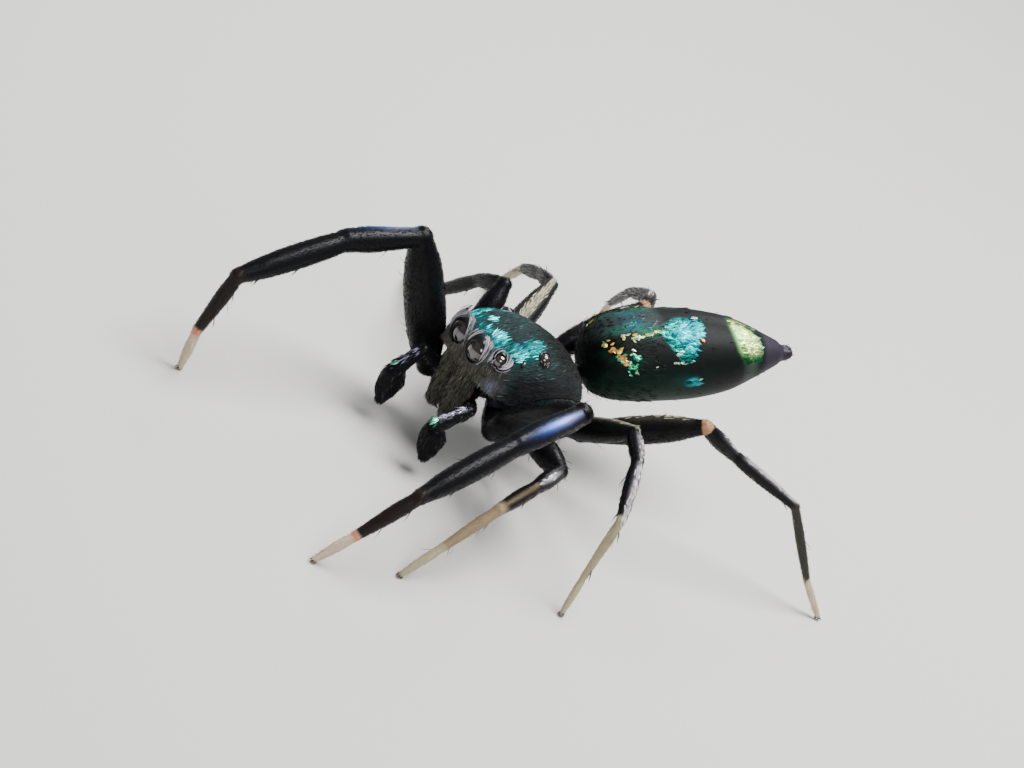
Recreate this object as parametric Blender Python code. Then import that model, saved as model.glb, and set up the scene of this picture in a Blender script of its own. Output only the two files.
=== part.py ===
"""A male jumping spider of the metallic green kind, life size, standing with its first legs raised.

Lengths are in millimetres until finish(), which shifts the model onto its origin and scales it to metres.
The head points to -Y, the spider's left is +X and up is +Z. The floor is Z = 0.
"""

from math import asin, cos, pi, radians, sin

import bmesh
import bpy
from mathutils import Matrix, Vector

MM = 0.001
GAP = 0.05  # between neighbouring pieces: a bigger one would be as wide as a leg

# The head and thorax have a frame of their own: forward, left and up from the level of the front eyes.
EYE_LEVEL = 2.30
NOSE_DOWN = radians(6)
ROLL = radians(-2)
BODY = (
    Matrix.Translation((0, 0, EYE_LEVEL))
    @ Matrix.Rotation(ROLL, 4, "Y")
    @ Matrix.Rotation(NOSE_DOWN, 4, "X")
)


def body(forward, left, up):
    """A point of the head and thorax, in the world."""
    return BODY @ Vector((left, -forward, up))


def direction(heading, pitch, sign=1):
    """A unit vector: heading in degrees from straight ahead towards the side of sign, pitch upwards."""
    h, p = radians(heading), radians(pitch)
    return Vector((sign * sin(h) * cos(p), -cos(h) * cos(p), sin(p)))


def clear_scene():
    for obj in list(bpy.data.objects):
        bpy.data.objects.remove(obj)


def place(name, mesh):
    obj = bpy.data.objects.new(name, mesh)
    bpy.context.scene.collection.objects.link(obj)
    return obj


def skin(name, rings, start, end):
    """A closed surface through rings of equal length, drawn to a point at each end."""
    mesh = bmesh.new()
    rows = [[mesh.verts.new(p) for p in ring] for ring in rings]
    first, last = mesh.verts.new(start), mesh.verts.new(end)
    count = len(rows[0])
    for i in range(count):
        j = (i + 1) % count
        mesh.faces.new((first, rows[0][j], rows[0][i]))
        mesh.faces.new((last, rows[-1][i], rows[-1][j]))
        for a, b in zip(rows, rows[1:]):
            mesh.faces.new((a[i], a[j], b[j], b[i]))
    bmesh.ops.recalc_face_normals(mesh, faces=mesh.faces)
    data = bpy.data.meshes.new(name)
    mesh.to_mesh(data)
    mesh.free()
    return place(name, data)


def spread(rows, count):
    """count rows read off a smooth curve through the given rows, first and last included."""
    found = []
    for i in range(count):
        along = i * (len(rows) - 1) / (count - 1)
        k = min(int(along), len(rows) - 2)
        t = along - k
        a, b = rows[max(k - 1, 0)], rows[k]
        c, d = rows[k + 1], rows[min(k + 2, len(rows) - 1)]
        found.append(
            tuple(
                q
                + t * (r - p) / 2
                + t * t * (p - 2.5 * q + 2 * r - s / 2)
                + t * t * t * (1.5 * (q - r) + (s - p) / 2)
                for p, q, r, s in zip(a, b, c, d)
            )
        )
    return found


def across(along):
    """Two directions square to along: one level, one as near upright as it can be."""
    along = along.normalized()
    side = along.cross(Vector((0, 0, 1)))
    if side.length < 0.05:
        side = Vector((1, 0, 0))
    side.normalize()
    return side, side.cross(along)


def rod(name, start, end, radii, sides=12, flat=1.0, cap=0.6, rings=0):
    """A round limb from start to end with rounded ends, its radii evenly spaced along it.

    flat narrows it sideways, and cap is how far an end bulges, as a share of its radius.
    rings, if given, is how many sections a smooth curve through the radii is cut into.
    """
    if rings:
        radii = [r for (r,) in spread([(r,) for r in radii], rings)]
    along = (end - start).normalized()
    length = (end - start).length
    side, up = across(along)
    stops = [(-0.62 * cap * radii[0], 0.75 * radii[0])]
    stops += [(length * i / (len(radii) - 1), r) for i, r in enumerate(radii)]
    stops += [(length + 0.62 * cap * radii[-1], 0.75 * radii[-1])]
    sections = []
    for distance, radius in stops:
        centre = start + along * distance
        sections.append(
            [
                centre
                + side * (radius * flat * cos(2 * pi * k / sides))
                + up * (radius * sin(2 * pi * k / sides))
                for k in range(sides)
            ]
        )
    first = start - along * cap * radii[0]
    last = end + along * cap * radii[-1]
    return skin(name, sections, first, last)


def ball(name, centre, radius, segments, rings):
    mesh = bmesh.new()
    bmesh.ops.create_uvsphere(mesh, u_segments=segments, v_segments=rings, radius=radius)
    bmesh.ops.rotate(mesh, verts=mesh.verts, matrix=Matrix.Rotation(pi / 2, 3, "X"))
    bmesh.ops.translate(mesh, verts=mesh.verts, vec=centre)
    data = bpy.data.meshes.new(name)
    mesh.to_mesh(data)
    mesh.free()
    return place(name, data)


def boolean(target, others, operation):
    """Joins or cuts target with each of the others, which are removed."""
    for other in others:
        step = target.modifiers.new(operation.lower(), "BOOLEAN")
        step.operation = operation
        step.solver = "EXACT"
        step.object = other
    graph = bpy.context.evaluated_depsgraph_get()
    data = bpy.data.meshes.new_from_object(target.evaluated_get(graph))
    target.modifiers.clear()
    target.data = data
    for other in others:
        bpy.data.objects.remove(other)
    keep_largest(target)


def keep_largest(obj):
    """Leaves only the largest closed surface of a mesh."""
    mesh = bmesh.new()
    mesh.from_mesh(obj.data)
    bmesh.ops.remove_doubles(mesh, verts=mesh.verts, dist=0.0005)
    left = set(mesh.verts)
    islands = []
    while left:
        reached = [left.pop()]
        for vert in reached:
            for edge in vert.link_edges:
                other = edge.other_vert(vert)
                if other in left:
                    left.remove(other)
                    reached.append(other)
        islands.append(reached)
    islands.sort(key=len)
    for island in islands[:-1]:
        bmesh.ops.delete(mesh, geom=island, context="VERTS")
    mesh.to_mesh(obj.data)
    mesh.free()


# Cephalothorax: forward, half width, margin, top and squareness of each section of the carapace.
CARAPACE = (
    (1.38, 0.40, -0.28, 0.06, 2.6),
    (1.32, 0.60, -0.34, 0.22, 2.8),
    (1.15, 0.76, -0.44, 0.31, 3.2),
    (0.75, 0.87, -0.64, 0.38, 3.3),
    (0.15, 0.95, -0.72, 0.35, 2.9),
    (-0.35, 0.97, -0.74, 0.20, 2.5),
    (-0.80, 0.90, -0.76, -0.03, 2.3),
    (-1.10, 0.72, -0.77, -0.28, 2.2),
    (-1.30, 0.46, -0.78, -0.52, 2.0),
)
CARAPACE_FRONT = (1.42, -0.20)
CARAPACE_BACK = (-1.38, -0.72)
CARAPACE_SIDES = 32
CARAPACE_RINGS = 19
HEM = 0.14  # how far the underside hangs below the margin

# Sternum, between the legs: forward, half width, top and bottom.
STERNUM = (
    (0.80, 0.16, -0.62, -1.02),
    (0.62, 0.30, -0.60, -1.14),
    (0.10, 0.38, -0.60, -1.20),
    (-0.50, 0.36, -0.60, -1.20),
    (-0.92, 0.20, -0.62, -1.10),
)


def carapace(grow=0.0):
    rings = []
    for forward, half, margin, top, square in spread(CARAPACE, CARAPACE_RINGS):
        half, rise, drop = half + grow, top - margin + grow, HEM + grow
        ring = []
        for k in range(CARAPACE_SIDES):
            angle = 2 * pi * k / CARAPACE_SIDES
            c, s = cos(angle), sin(angle)
            power = 2 / (square if s > 0 else 2)
            sideways = half * abs(c) ** power * (1 if c > 0 else -1)
            height = (rise if s > 0 else -drop) * abs(s) ** power
            ring.append(body(forward * (1 + grow / 1.4), sideways, margin + height))
        rings.append(ring)
    front = body(CARAPACE_FRONT[0] + grow, 0, CARAPACE_FRONT[1])
    back = body(CARAPACE_BACK[0] - grow, 0, CARAPACE_BACK[1])
    return skin("carapace", rings, front, back)


def sternum(grow=0.0):
    rings = []
    for forward, half, top, bottom in STERNUM:
        ring = []
        for k in range(12):
            angle = 2 * pi * k / 12
            middle, rise = (top + bottom) / 2, (top - bottom) / 2 + grow
            ring.append(
                body(forward, (half + grow) * cos(angle), middle + rise * sin(angle))
            )
        rings.append(ring)
    first, last = STERNUM[0], STERNUM[-1]
    front = body(first[0] + 0.08 + grow, 0, (first[2] + first[3]) / 2)
    back = body(last[0] - 0.08 - grow, 0, (last[2] + last[3]) / 2)
    return skin("sternum", rings, front, back)


def trunk(grow=0.0):
    """The cephalothorax, or a larger copy of it that cuts its neighbours clear."""
    whole = carapace(grow)
    boolean(whole, [sternum(grow)], "UNION")
    return whole


# Eyes: forward, left, up, radius, and the ball's segments and rings. Each has a twin on the right.
EYES = {
    "front_middle": (1.20, 0.262, 0.0, 0.236, 20, 12),
    "front_side": (1.03, 0.630, 0.06, 0.130, 14, 8),
    "small": (0.60, 0.760, 0.10, 0.045, 8, 6),
    "rear": (0.12, 0.665, 0.13, 0.120, 14, 8),
}

# Chelicerae: forward, left, up of both ends, then radii.
CHELICERA = ((1.15, 0.235, -0.40), (1.22, 0.235, -1.38), (0.21, 0.225, 0.215, 0.17))
FANG = ((1.20, 0.21, -1.44), (1.10, 0.10, -1.60), (0.055, 0.03))

# Palps: base, knee, wrist and tip as forward, left and up. The right one is held higher.
PALPS = {
    "left": ((0.95, 0.37, -1.06), (1.36, 0.86, -0.85), (1.96, 0.90, -1.13), (1.92, 0.92, -1.82)),
    "right": ((0.95, -0.37, -1.06), (1.75, -0.42, -0.53), (2.06, -0.48, -0.94), (2.10, -0.50, -1.68)),
}
PALP_UPPER = (0.12, 0.13, 0.14)
PALP_MIDDLE = (0.14, 0.155, 0.155, 0.16)
PALP_CLUB = (0.17, 0.225, 0.24, 0.225, 0.195, 0.14)
BULB_BACK = 0.10  # the organ that a male carries under his palp's club
BULB_RADIUS = 0.20

# Legs, by pair: the root, then length and radii of coxa, femur, patella, tibia, metatarsus and tarsus.
LEG_ROOTS = {1: (0.50, 0.40), 2: (0.06, 0.44), 3: (-0.38, 0.44), 4: (-0.82, 0.36)}
ROOT_LEVEL = -1.00
LENGTHS = {
    1: (0.77, 2.75, 1.48, 2.12, 1.20, 0.78),
    2: (0.72, 1.62, 0.82, 1.30, 1.15, 0.82),
    3: (0.71, 1.95, 0.79, 1.18, 1.20, 0.75),
    4: (0.77, 2.25, 0.85, 1.70, 1.60, 0.78),
}
COXA = (0.18, 0.20, 0.20, 0.20)
METATARSUS = {
    1: (0.15, 0.165, 0.15, 0.12),
    2: (0.125, 0.14, 0.125, 0.105),
    3: (0.125, 0.135, 0.12, 0.105),
    4: (0.125, 0.14, 0.13, 0.11),
}
TARSUS = {
    1: (0.115, 0.13, 0.12, 0.095),
    2: (0.10, 0.115, 0.105, 0.09),
    3: (0.095, 0.11, 0.10, 0.09),
    4: (0.10, 0.11, 0.10, 0.09),
}
LEG_RINGS = (4, 8, 5, 7, 5, 4)
RADII = {
    1: ((0.25, 0.35, 0.40, 0.39, 0.35, 0.24), (0.21, 0.235, 0.265, 0.24), (0.22, 0.245, 0.25, 0.23, 0.175)),
    2: ((0.20, 0.25, 0.27, 0.25, 0.19), (0.165, 0.19, 0.19, 0.165), (0.15, 0.17, 0.165, 0.14)),
    3: ((0.20, 0.25, 0.26, 0.24, 0.19), (0.165, 0.185, 0.18, 0.155), (0.15, 0.17, 0.165, 0.14)),
    4: ((0.20, 0.27, 0.28, 0.26, 0.19), (0.17, 0.19, 0.19, 0.16), (0.155, 0.175, 0.17, 0.15, 0.135)),
}

# Pose: heading and pitch in degrees of coxa, femur, patella, tibia, metatarsus and tarsus.
POSE = {
    ("left", 1): ((63, -8), (76, 45), (15, -20), (15, -26), (-9, -56), (-5, -60)),
    ("left", 2): ((82, -1), (73, 12), (29, -4), (26, -7), (11, -42), (7, -47)),
    ("left", 3): ((104, 5), (86, 38), (63, -3), (60, -34), (50, -88), (45, -62)),
    ("left", 4): ((120, -9), (131, 39), (165, -24), (156, -17), (149, -51), (149, -43)),
    ("right", 1): ((42, -21), (16, 58), (2, -13), (-5, -26), (-6, -82), (185, -83)),
    ("right", 2): ((71, -25), (136, 54), (101, -32), (100, -47), (116, -22), (117, -29)),
    ("right", 3): ((102, 0), (144, 24), (119, -18), (118, -27), (123, -42), (121, -37)),
    ("right", 4): ((139, 10), (169, 28), (138, -7), (125, -28), (130, -37), (135, -55)),
}
SOLE = 0.07  # the height of a tarsus tip's middle, which leaves a small flat on the floor


def joints(side, pair):
    """The ends of a leg's six segments, root first. The last one ends at the sole."""
    sign = 1 if side == "left" else -1
    forward, left = LEG_ROOTS[pair]
    points = [body(forward, sign * left, ROOT_LEVEL)]
    for length, (heading, pitch) in zip(LENGTHS[pair][:-1], POSE[side, pair]):
        points.append(points[-1] + direction(heading, pitch, sign) * length)
    length = LENGTHS[pair][-1]
    drop = min(1.0, (points[-1].z - SOLE) / length)
    heading = POSE[side, pair][-1][0]
    points.append(points[-1] + direction(heading, -asin(drop) * 180 / pi, sign) * length)
    return points


def leg(side, pair):
    points = joints(side, pair)
    radii = (COXA,) + RADII[pair] + (METATARSUS[pair], TARSUS[pair])
    pieces = []
    for i, (start, end) in enumerate(zip(points, points[1:])):
        sides = 12 if i == 1 else 10
        pieces.append(rod("segment", start, end, radii[i], sides, rings=LEG_RINGS[i]))
    whole = pieces[1]
    boolean(whole, [pieces[0]] + pieces[2:], "UNION")
    return whole


def palp(side):
    base, knee, wrist, tip = (body(*p) for p in PALPS[side])
    upper = rod("upper", base, knee, PALP_UPPER, 10)
    middle = rod("middle", knee, wrist, PALP_MIDDLE, 10)
    club = rod("club", wrist, tip, PALP_CLUB, 12, cap=0.8, rings=9)
    behind = body(-BULB_BACK, 0, 0) - body(0, 0, 0)
    bulb = ball("bulb", wrist.lerp(tip, 0.45) + behind, BULB_RADIUS, 12, 8)
    boolean(club, [middle, upper, bulb], "UNION")
    return club


def chelicera(sign):
    start, end, radii = CHELICERA
    claw_start, claw_end, claw_radii = FANG
    base = rod(
        "base",
        body(start[0], sign * start[1], start[2]),
        body(end[0], sign * end[1], end[2]),
        radii,
        12,
        flat=0.92,
    )
    claw = rod(
        "claw",
        body(claw_start[0], sign * claw_start[1], claw_start[2]),
        body(claw_end[0], sign * claw_end[1], claw_end[2]),
        claw_radii,
        8,
    )
    boolean(base, [claw], "UNION")
    return base


# Abdomen: where its front sits, where it points, then distance along it and radius of each section.
ABDOMEN_FRONT = Vector((-0.13, 1.43, 2.085))
ABDOMEN_HEADING = 166
ABDOMEN_PITCH = 19.5
ABDOMEN = (
    (0.04, 0.30),
    (0.12, 0.54),
    (0.28, 0.69),
    (0.60, 0.80),
    (1.00, 0.845),
    (1.43, 0.85),
    (2.00, 0.83),
    (2.40, 0.78),
    (2.84, 0.68),
    (3.25, 0.50),
    (3.60, 0.34),
    (3.80, 0.22),
)
ABDOMEN_TIP = 3.90
ABDOMEN_SIDES = 28
ABDOMEN_RINGS = 20
ABDOMEN_WIDTH = 1.03
SPINNERETS = ((0.10, 0.03, 4.12, 8), (0.085, -0.11, 4.02, 7), (0.0, 0.13, 4.05, 9))
PEDICEL = (0.10, 0.13, 0.16)


def abdomen():
    along = direction(ABDOMEN_HEADING, ABDOMEN_PITCH)
    side, up = across(along)
    rings = []
    for distance, radius in spread(ABDOMEN, ABDOMEN_RINGS):
        centre = ABDOMEN_FRONT + along * distance
        rings.append(
            [
                centre
                + side * (ABDOMEN_WIDTH * radius * cos(2 * pi * k / ABDOMEN_SIDES))
                + up * (radius * sin(2 * pi * k / ABDOMEN_SIDES))
                for k in range(ABDOMEN_SIDES)
            ]
        )
    whole = skin("abdomen", rings, ABDOMEN_FRONT, ABDOMEN_FRONT + along * ABDOMEN_TIP)
    extras = []
    for left, high, reach, sides in SPINNERETS:
        for sign in (1, -1) if left else (1,):
            start = ABDOMEN_FRONT + along * 3.45 + side * sign * left + up * high
            end = ABDOMEN_FRONT + along * reach + side * sign * left * 0.9 + up * high * 0.5
            extras.append(rod("spinneret", start, end, (0.115, 0.11, 0.08), sides))
    waist_start = body(CARAPACE_BACK[0] + 0.05, 0, CARAPACE_BACK[1] - 0.02)
    waist_end = ABDOMEN_FRONT + along * 0.45 - up * 0.30
    extras.append(rod("pedicel", waist_start, waist_end, PEDICEL, 10))
    boolean(whole, extras, "UNION")
    return whole


def level_feet(obj):
    """Cuts off what reaches below the floor, which leaves each foot its flat."""
    mesh = bmesh.new()
    bmesh.ops.create_cube(mesh, size=20)
    bmesh.ops.translate(mesh, verts=mesh.verts, vec=(0, 0, -10))
    data = bpy.data.meshes.new("floor_cut")
    mesh.to_mesh(data)
    mesh.free()
    boolean(obj, [place("floor_cut", data)], "DIFFERENCE")


def swollen(obj):
    """A copy of obj grown by the gap, to cut a neighbour clear of it."""
    mesh = bmesh.new()
    mesh.from_mesh(obj.data)
    mesh.normal_update()
    moves = [(v, v.co + v.normal * GAP) for v in mesh.verts]
    for vert, moved in moves:
        vert.co = moved
    data = bpy.data.meshes.new("swollen")
    mesh.to_mesh(data)
    mesh.free()
    return place("swollen", data)


MATERIALS = {
    "cuticle": ((0.02, 0.022, 0.022, 1), 0.35),
    "abdomen": ((0.02, 0.16, 0.12, 1), 0.25),
    "eye": ((0.01, 0.01, 0.012, 1), 0.08),
}


def material(name):
    found = bpy.data.materials.get(name)
    if found:
        return found
    colour, roughness = MATERIALS[name]
    found = bpy.data.materials.new(name)
    found.use_nodes = True
    shader = found.node_tree.nodes["Principled BSDF"]
    shader.inputs["Base Color"].default_value = colour
    shader.inputs["Roughness"].default_value = roughness
    return found


def finish(nodes):
    """Names the nodes, moves the model's base centre to the origin and scales it to metres."""
    corners = [v.co for _, obj, _ in nodes for v in obj.data.vertices]
    low = [min(c[i] for c in corners) for i in range(3)]
    high = [max(c[i] for c in corners) for i in range(3)]
    shift = Vector((-(low[0] + high[0]) / 2, -(low[1] + high[1]) / 2, -low[2]))
    for name, obj, slot in nodes:
        obj.name = name
        obj.data.transform(Matrix.Scale(MM, 4) @ Matrix.Translation(shift))
        obj.data.materials.clear()
        obj.data.materials.append(material(slot))
        for face in obj.data.polygons:
            face.use_smooth = True


def main():
    clear_scene()
    nodes = []

    cephalothorax = trunk()
    for name, (forward, left, up, radius, segments, rings) in EYES.items():
        for side, sign in (("left", 1), ("right", -1)):
            centre = body(forward, sign * left, up)
            socket = ball("socket", centre, radius + GAP, segments, rings)
            boolean(cephalothorax, [socket], "DIFFERENCE")
            eye = ball("eye", centre, radius, segments, rings)
            nodes.append((f"eye_{name}_{side}", eye, "eye"))
    nodes.append(("cephalothorax", cephalothorax, "cuticle"))

    jaws = {}
    for side, sign in (("left", 1), ("right", -1)):
        jaws[side] = chelicera(sign)
        boolean(jaws[side], [trunk(GAP)], "DIFFERENCE")
        nodes.append((f"chelicera_{side}", jaws[side], "cuticle"))

    for side in ("left", "right"):
        feeler = palp(side)
        boolean(feeler, [trunk(GAP), swollen(jaws[side])], "DIFFERENCE")
        nodes.append((f"palp_{side}", feeler, "cuticle"))

    for side in ("left", "right"):
        for pair in LEG_ROOTS:
            limb = leg(side, pair)
            boolean(limb, [trunk(GAP)], "DIFFERENCE")
            level_feet(limb)
            nodes.append((f"leg_{pair}_{side}", limb, "cuticle"))

    tail = abdomen()
    boolean(tail, [trunk(GAP)], "DIFFERENCE")
    nodes.append(("abdomen", tail, "abdomen"))

    finish(nodes)


main()
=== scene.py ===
"""Looks of a life-size male jumping spider of the metallic green kind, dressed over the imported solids.

Shapes are worked out in millimetres, in the frame of the solids' own source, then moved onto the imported
frame and scaled to metres. The head points to -Y, the spider's left is +X and up is +Z.
"""

from itertools import product
from math import asin, cos, degrees, pi, radians, sin

import bpy
import numpy as np
from mathutils import Matrix, Vector


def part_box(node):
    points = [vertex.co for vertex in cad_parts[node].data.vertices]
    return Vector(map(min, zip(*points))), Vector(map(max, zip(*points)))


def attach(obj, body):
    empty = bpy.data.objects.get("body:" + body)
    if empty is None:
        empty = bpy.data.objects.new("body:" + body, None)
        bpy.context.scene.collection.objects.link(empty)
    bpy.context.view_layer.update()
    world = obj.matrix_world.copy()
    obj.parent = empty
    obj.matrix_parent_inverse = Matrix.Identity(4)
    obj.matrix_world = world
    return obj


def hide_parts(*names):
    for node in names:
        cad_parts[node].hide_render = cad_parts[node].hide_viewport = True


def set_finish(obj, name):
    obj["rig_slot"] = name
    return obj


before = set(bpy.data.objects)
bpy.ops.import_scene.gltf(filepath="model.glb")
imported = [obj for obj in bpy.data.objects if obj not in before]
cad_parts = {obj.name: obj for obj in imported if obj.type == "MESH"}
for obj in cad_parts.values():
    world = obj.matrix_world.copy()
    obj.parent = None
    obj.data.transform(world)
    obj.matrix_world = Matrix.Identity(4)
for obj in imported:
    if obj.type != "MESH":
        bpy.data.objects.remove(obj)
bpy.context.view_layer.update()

MM = 0.001
rng = np.random.default_rng(6)

# The head and thorax have a frame of their own: forward, left and up from the level of the front eyes.
EYE_LEVEL = 2.30
NOSE_DOWN = radians(6)
HEAD_ROLL = radians(-2)
SIDES = (("left", 1), ("right", -1))
UPWARD = np.array([0.0, 0.0, 1.0])
TURN = np.array(Matrix.Rotation(HEAD_ROLL, 3, "Y") @ Matrix.Rotation(NOSE_DOWN, 3, "X"))


def body(forward, left, up):
    """A point of the head and thorax, in the world."""
    return TURN @ np.array([left, -forward, up]) + np.array([0, 0, EYE_LEVEL])


def mirrored(place, sign):
    """A point of the head and thorax, given for the left side, on the side of sign."""
    forward, left, up = place
    return body(forward, sign * left, up)


def in_body(points):
    """forward, left and up of each of the world's points."""
    local = (points - np.array([0, 0, EYE_LEVEL])) @ TURN
    return -local[..., 1], local[..., 0], local[..., 2]


def body_way(forward, left, up):
    """A unit vector given in the head's own frame."""
    way = TURN @ np.array([left, -forward, up], float)
    return way / np.linalg.norm(way)


def direction(heading, pitch, sign=1):
    """A unit vector: heading in degrees from straight ahead towards the side of sign, pitch upwards."""
    h, p = radians(heading), radians(pitch)
    return np.array([sign * sin(h) * cos(p), -cos(h) * cos(p), sin(p)])


def unit(vectors):
    return vectors / np.maximum(np.linalg.norm(vectors, axis=-1, keepdims=True), 1e-9)


def spread(rows, count):
    """count rows read off a smooth curve through the given rows, first and last included."""
    rows = np.array(rows, float)
    at = np.linspace(0, len(rows) - 1, count)
    k = np.minimum(at.astype(int), len(rows) - 2)
    t = (at - k).reshape((-1,) + (1,) * (rows.ndim - 1))
    p, q = rows[np.maximum(k - 1, 0)], rows[k]
    r, s = rows[k + 1], rows[np.minimum(k + 2, len(rows) - 1)]
    square, cube = p - 2.5 * q + 2 * r - s / 2, 1.5 * (q - r) + (s - p) / 2
    return q + t * (r - p) / 2 + t**2 * square + t**3 * cube


def ease(low, high, values):
    """0 below low, 1 above high and a smooth rise between them."""
    t = np.clip((values - low) / (high - low), 0, 1)
    return t * t * (3 - 2 * t)


def hump(middle, width, values):
    return np.exp(-(((values - middle) / width) ** 2))


# The same sizes as the solids' source has, less the coat's depth.
COAT = 0.035
CARAPACE = np.array((
    (1.38, 0.40, -0.28, 0.06, 2.6), (1.32, 0.60, -0.34, 0.22, 2.8), (1.15, 0.76, -0.44, 0.31, 3.2),
    (0.75, 0.87, -0.64, 0.38, 3.3), (0.15, 0.95, -0.72, 0.35, 2.9), (-0.35, 0.97, -0.74, 0.20, 2.5),
    (-0.80, 0.90, -0.76, -0.03, 2.3), (-1.10, 0.72, -0.77, -0.28, 2.2), (-1.30, 0.46, -0.78, -0.52, 2.0),
))
CARAPACE_FRONT = 1.40
CARAPACE_BACK = -1.36
STERNUM_FRONT = 0.84
STERNUM_BACK = -0.98
HEM = 0.13  # how far the carapace goes on below its widest line
RIDGE = (0.022, 0.05)  # the height and width of the rim along that line
STERNUM = np.array((
    (0.86, 0.06, -0.66, -0.98), (0.80, 0.16, -0.62, -1.02), (0.62, 0.30, -0.60, -1.14),
    (0.10, 0.38, -0.60, -1.20), (-0.50, 0.36, -0.60, -1.20), (-0.92, 0.20, -0.62, -1.10),
    (-1.00, 0.06, -0.66, -1.04),
))

# Eyes: forward, left, up, radius, rim's width and which way the eye looks.
EYES = {
    "front_middle": (1.20, 0.262, 0.0, 0.236, 0.042, (1, 0.04, -0.20)),
    "front_side": (1.03, 0.630, 0.06, 0.130, 0.034, (0.75, 0.62, 0.22)),
    "small": (0.60, 0.760, 0.10, 0.045, 0.016, (0.1, 0.9, 0.45)),
    "rear": (0.12, 0.665, 0.13, 0.120, 0.034, (-0.1, 0.8, 0.60)),
}

LEG_ROOTS = {1: (0.50, 0.40), 2: (0.06, 0.44), 3: (-0.38, 0.44), 4: (-0.82, 0.36)}
ROOT_LEVEL = -1.00
SEGMENTS = ("coxa", "femur", "patella", "tibia", "metatarsus", "tarsus")
LENGTHS = {
    1: (0.77, 2.75, 1.48, 2.12, 1.20, 0.78),
    2: (0.72, 1.62, 0.82, 1.30, 1.15, 0.82),
    3: (0.71, 1.95, 0.79, 1.18, 1.20, 0.75),
    4: (0.77, 2.25, 0.85, 1.70, 1.60, 0.78),
}
POSE = {
    ("left", 1): ((63, -8), (76, 45), (15, -20), (15, -26), (-9, -56), (-5, -60)),
    ("left", 2): ((82, -1), (73, 12), (29, -4), (26, -7), (11, -42), (7, -47)),
    ("left", 3): ((104, 5), (86, 38), (63, -3), (60, -34), (50, -88), (45, -62)),
    ("left", 4): ((120, -9), (131, 39), (165, -24), (156, -17), (149, -51), (149, -43)),
    ("right", 1): ((42, -21), (16, 58), (2, -13), (-5, -26), (-6, -82), (185, -83)),
    ("right", 2): ((71, -25), (136, 54), (101, -32), (100, -47), (116, -22), (117, -29)),
    ("right", 3): ((102, 0), (144, 24), (119, -18), (118, -27), (123, -42), (121, -37)),
    ("right", 4): ((139, 10), (169, 28), (138, -7), (125, -28), (130, -37), (135, -55)),
}
SOLE = 0.07

# Radii of the skin along each leg's segments: thinner than the solids, which take in the bristles.
SKIN_RADII = {
    1: (
        (0.13, 0.19, 0.20),
        (0.19, 0.31, 0.355, 0.35, 0.31, 0.195),
        (0.17, 0.195, 0.225, 0.20),
        (0.18, 0.205, 0.21, 0.19, 0.135),
        (0.115, 0.13, 0.112, 0.088),
        (0.076, 0.088, 0.080, 0.056),
    ),
    2: (
        (0.13, 0.18, 0.17),
        (0.12, 0.21, 0.235, 0.215, 0.14),
        (0.12, 0.145, 0.145, 0.12),
        (0.108, 0.128, 0.122, 0.098),
        (0.086, 0.097, 0.088, 0.073),
        (0.066, 0.078, 0.070, 0.05),
    ),
    3: (
        (0.13, 0.18, 0.17),
        (0.12, 0.20, 0.22, 0.19, 0.125),
        (0.11, 0.135, 0.13, 0.105),
        (0.10, 0.12, 0.115, 0.085),
        (0.074, 0.082, 0.074, 0.060),
        (0.054, 0.064, 0.060, 0.045),
    ),
    4: (
        (0.13, 0.19, 0.17),
        (0.12, 0.22, 0.25, 0.22, 0.13),
        (0.115, 0.14, 0.14, 0.11),
        (0.10, 0.125, 0.12, 0.10, 0.085),
        (0.076, 0.086, 0.080, 0.062),
        (0.056, 0.066, 0.062, 0.045),
    ),
}

PALPS = {
    "left": ((0.95, 0.37, -1.06), (1.36, 0.86, -0.85), (1.96, 0.90, -1.13), (1.92, 0.92, -1.82)),
    "right": ((0.95, -0.37, -1.06), (1.75, -0.42, -0.53), (2.06, -0.48, -0.94), (2.10, -0.50, -1.68)),
}

ABDOMEN_FRONT = np.array([-0.13, 1.43, 2.085])
ABDOMEN_AXIS = direction(166, 19.5)
ABDOMEN_LEFT = unit(np.cross(ABDOMEN_AXIS, [0, 0, 1]))
ABDOMEN_UP = np.cross(ABDOMEN_LEFT, ABDOMEN_AXIS)
ABDOMEN = (
    (0.02, 0.02), (0.035, 0.20), (0.07, 0.34), (0.15, 0.51), (0.30, 0.66), (0.60, 0.77), (1.00, 0.815),
    (1.43, 0.82), (2.00, 0.80), (2.40, 0.75), (2.84, 0.65), (3.25, 0.475), (3.60, 0.31), (3.80, 0.20),
    (3.88, 0.05),
)
ABDOMEN_WIDTH = 1.03
SPINNERETS = ((0.06, 0.02, 4.00), (0.05, -0.08, 3.95), (0.0, 0.06, 3.97))


def joints(side, pair):
    """The ends of a leg's six segments, root first. The last one ends at the sole."""
    sign = dict(SIDES)[side]
    points = [mirrored((*LEG_ROOTS[pair], ROOT_LEVEL), sign)]
    for length, (heading, pitch) in zip(LENGTHS[pair][:-1], POSE[side, pair]):
        points.append(points[-1] + direction(heading, pitch, sign) * length)
    length = LENGTHS[pair][-1]
    drop = min(1.0, (points[-1][2] - SOLE) / length)
    heading = POSE[side, pair][-1][0]
    points.append(points[-1] + direction(heading, -degrees(asin(drop)), sign) * length)
    return points


STATIONS = 40


def feet():
    """Each leg's number, the end of its last segment and the way that the segment goes."""
    for (side, _), pair in product(SIDES, LEG_ROOTS):
        ankle, toe = joints(side, pair)[-2:]
        yield pair, toe, unit(toe - ankle)


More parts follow.
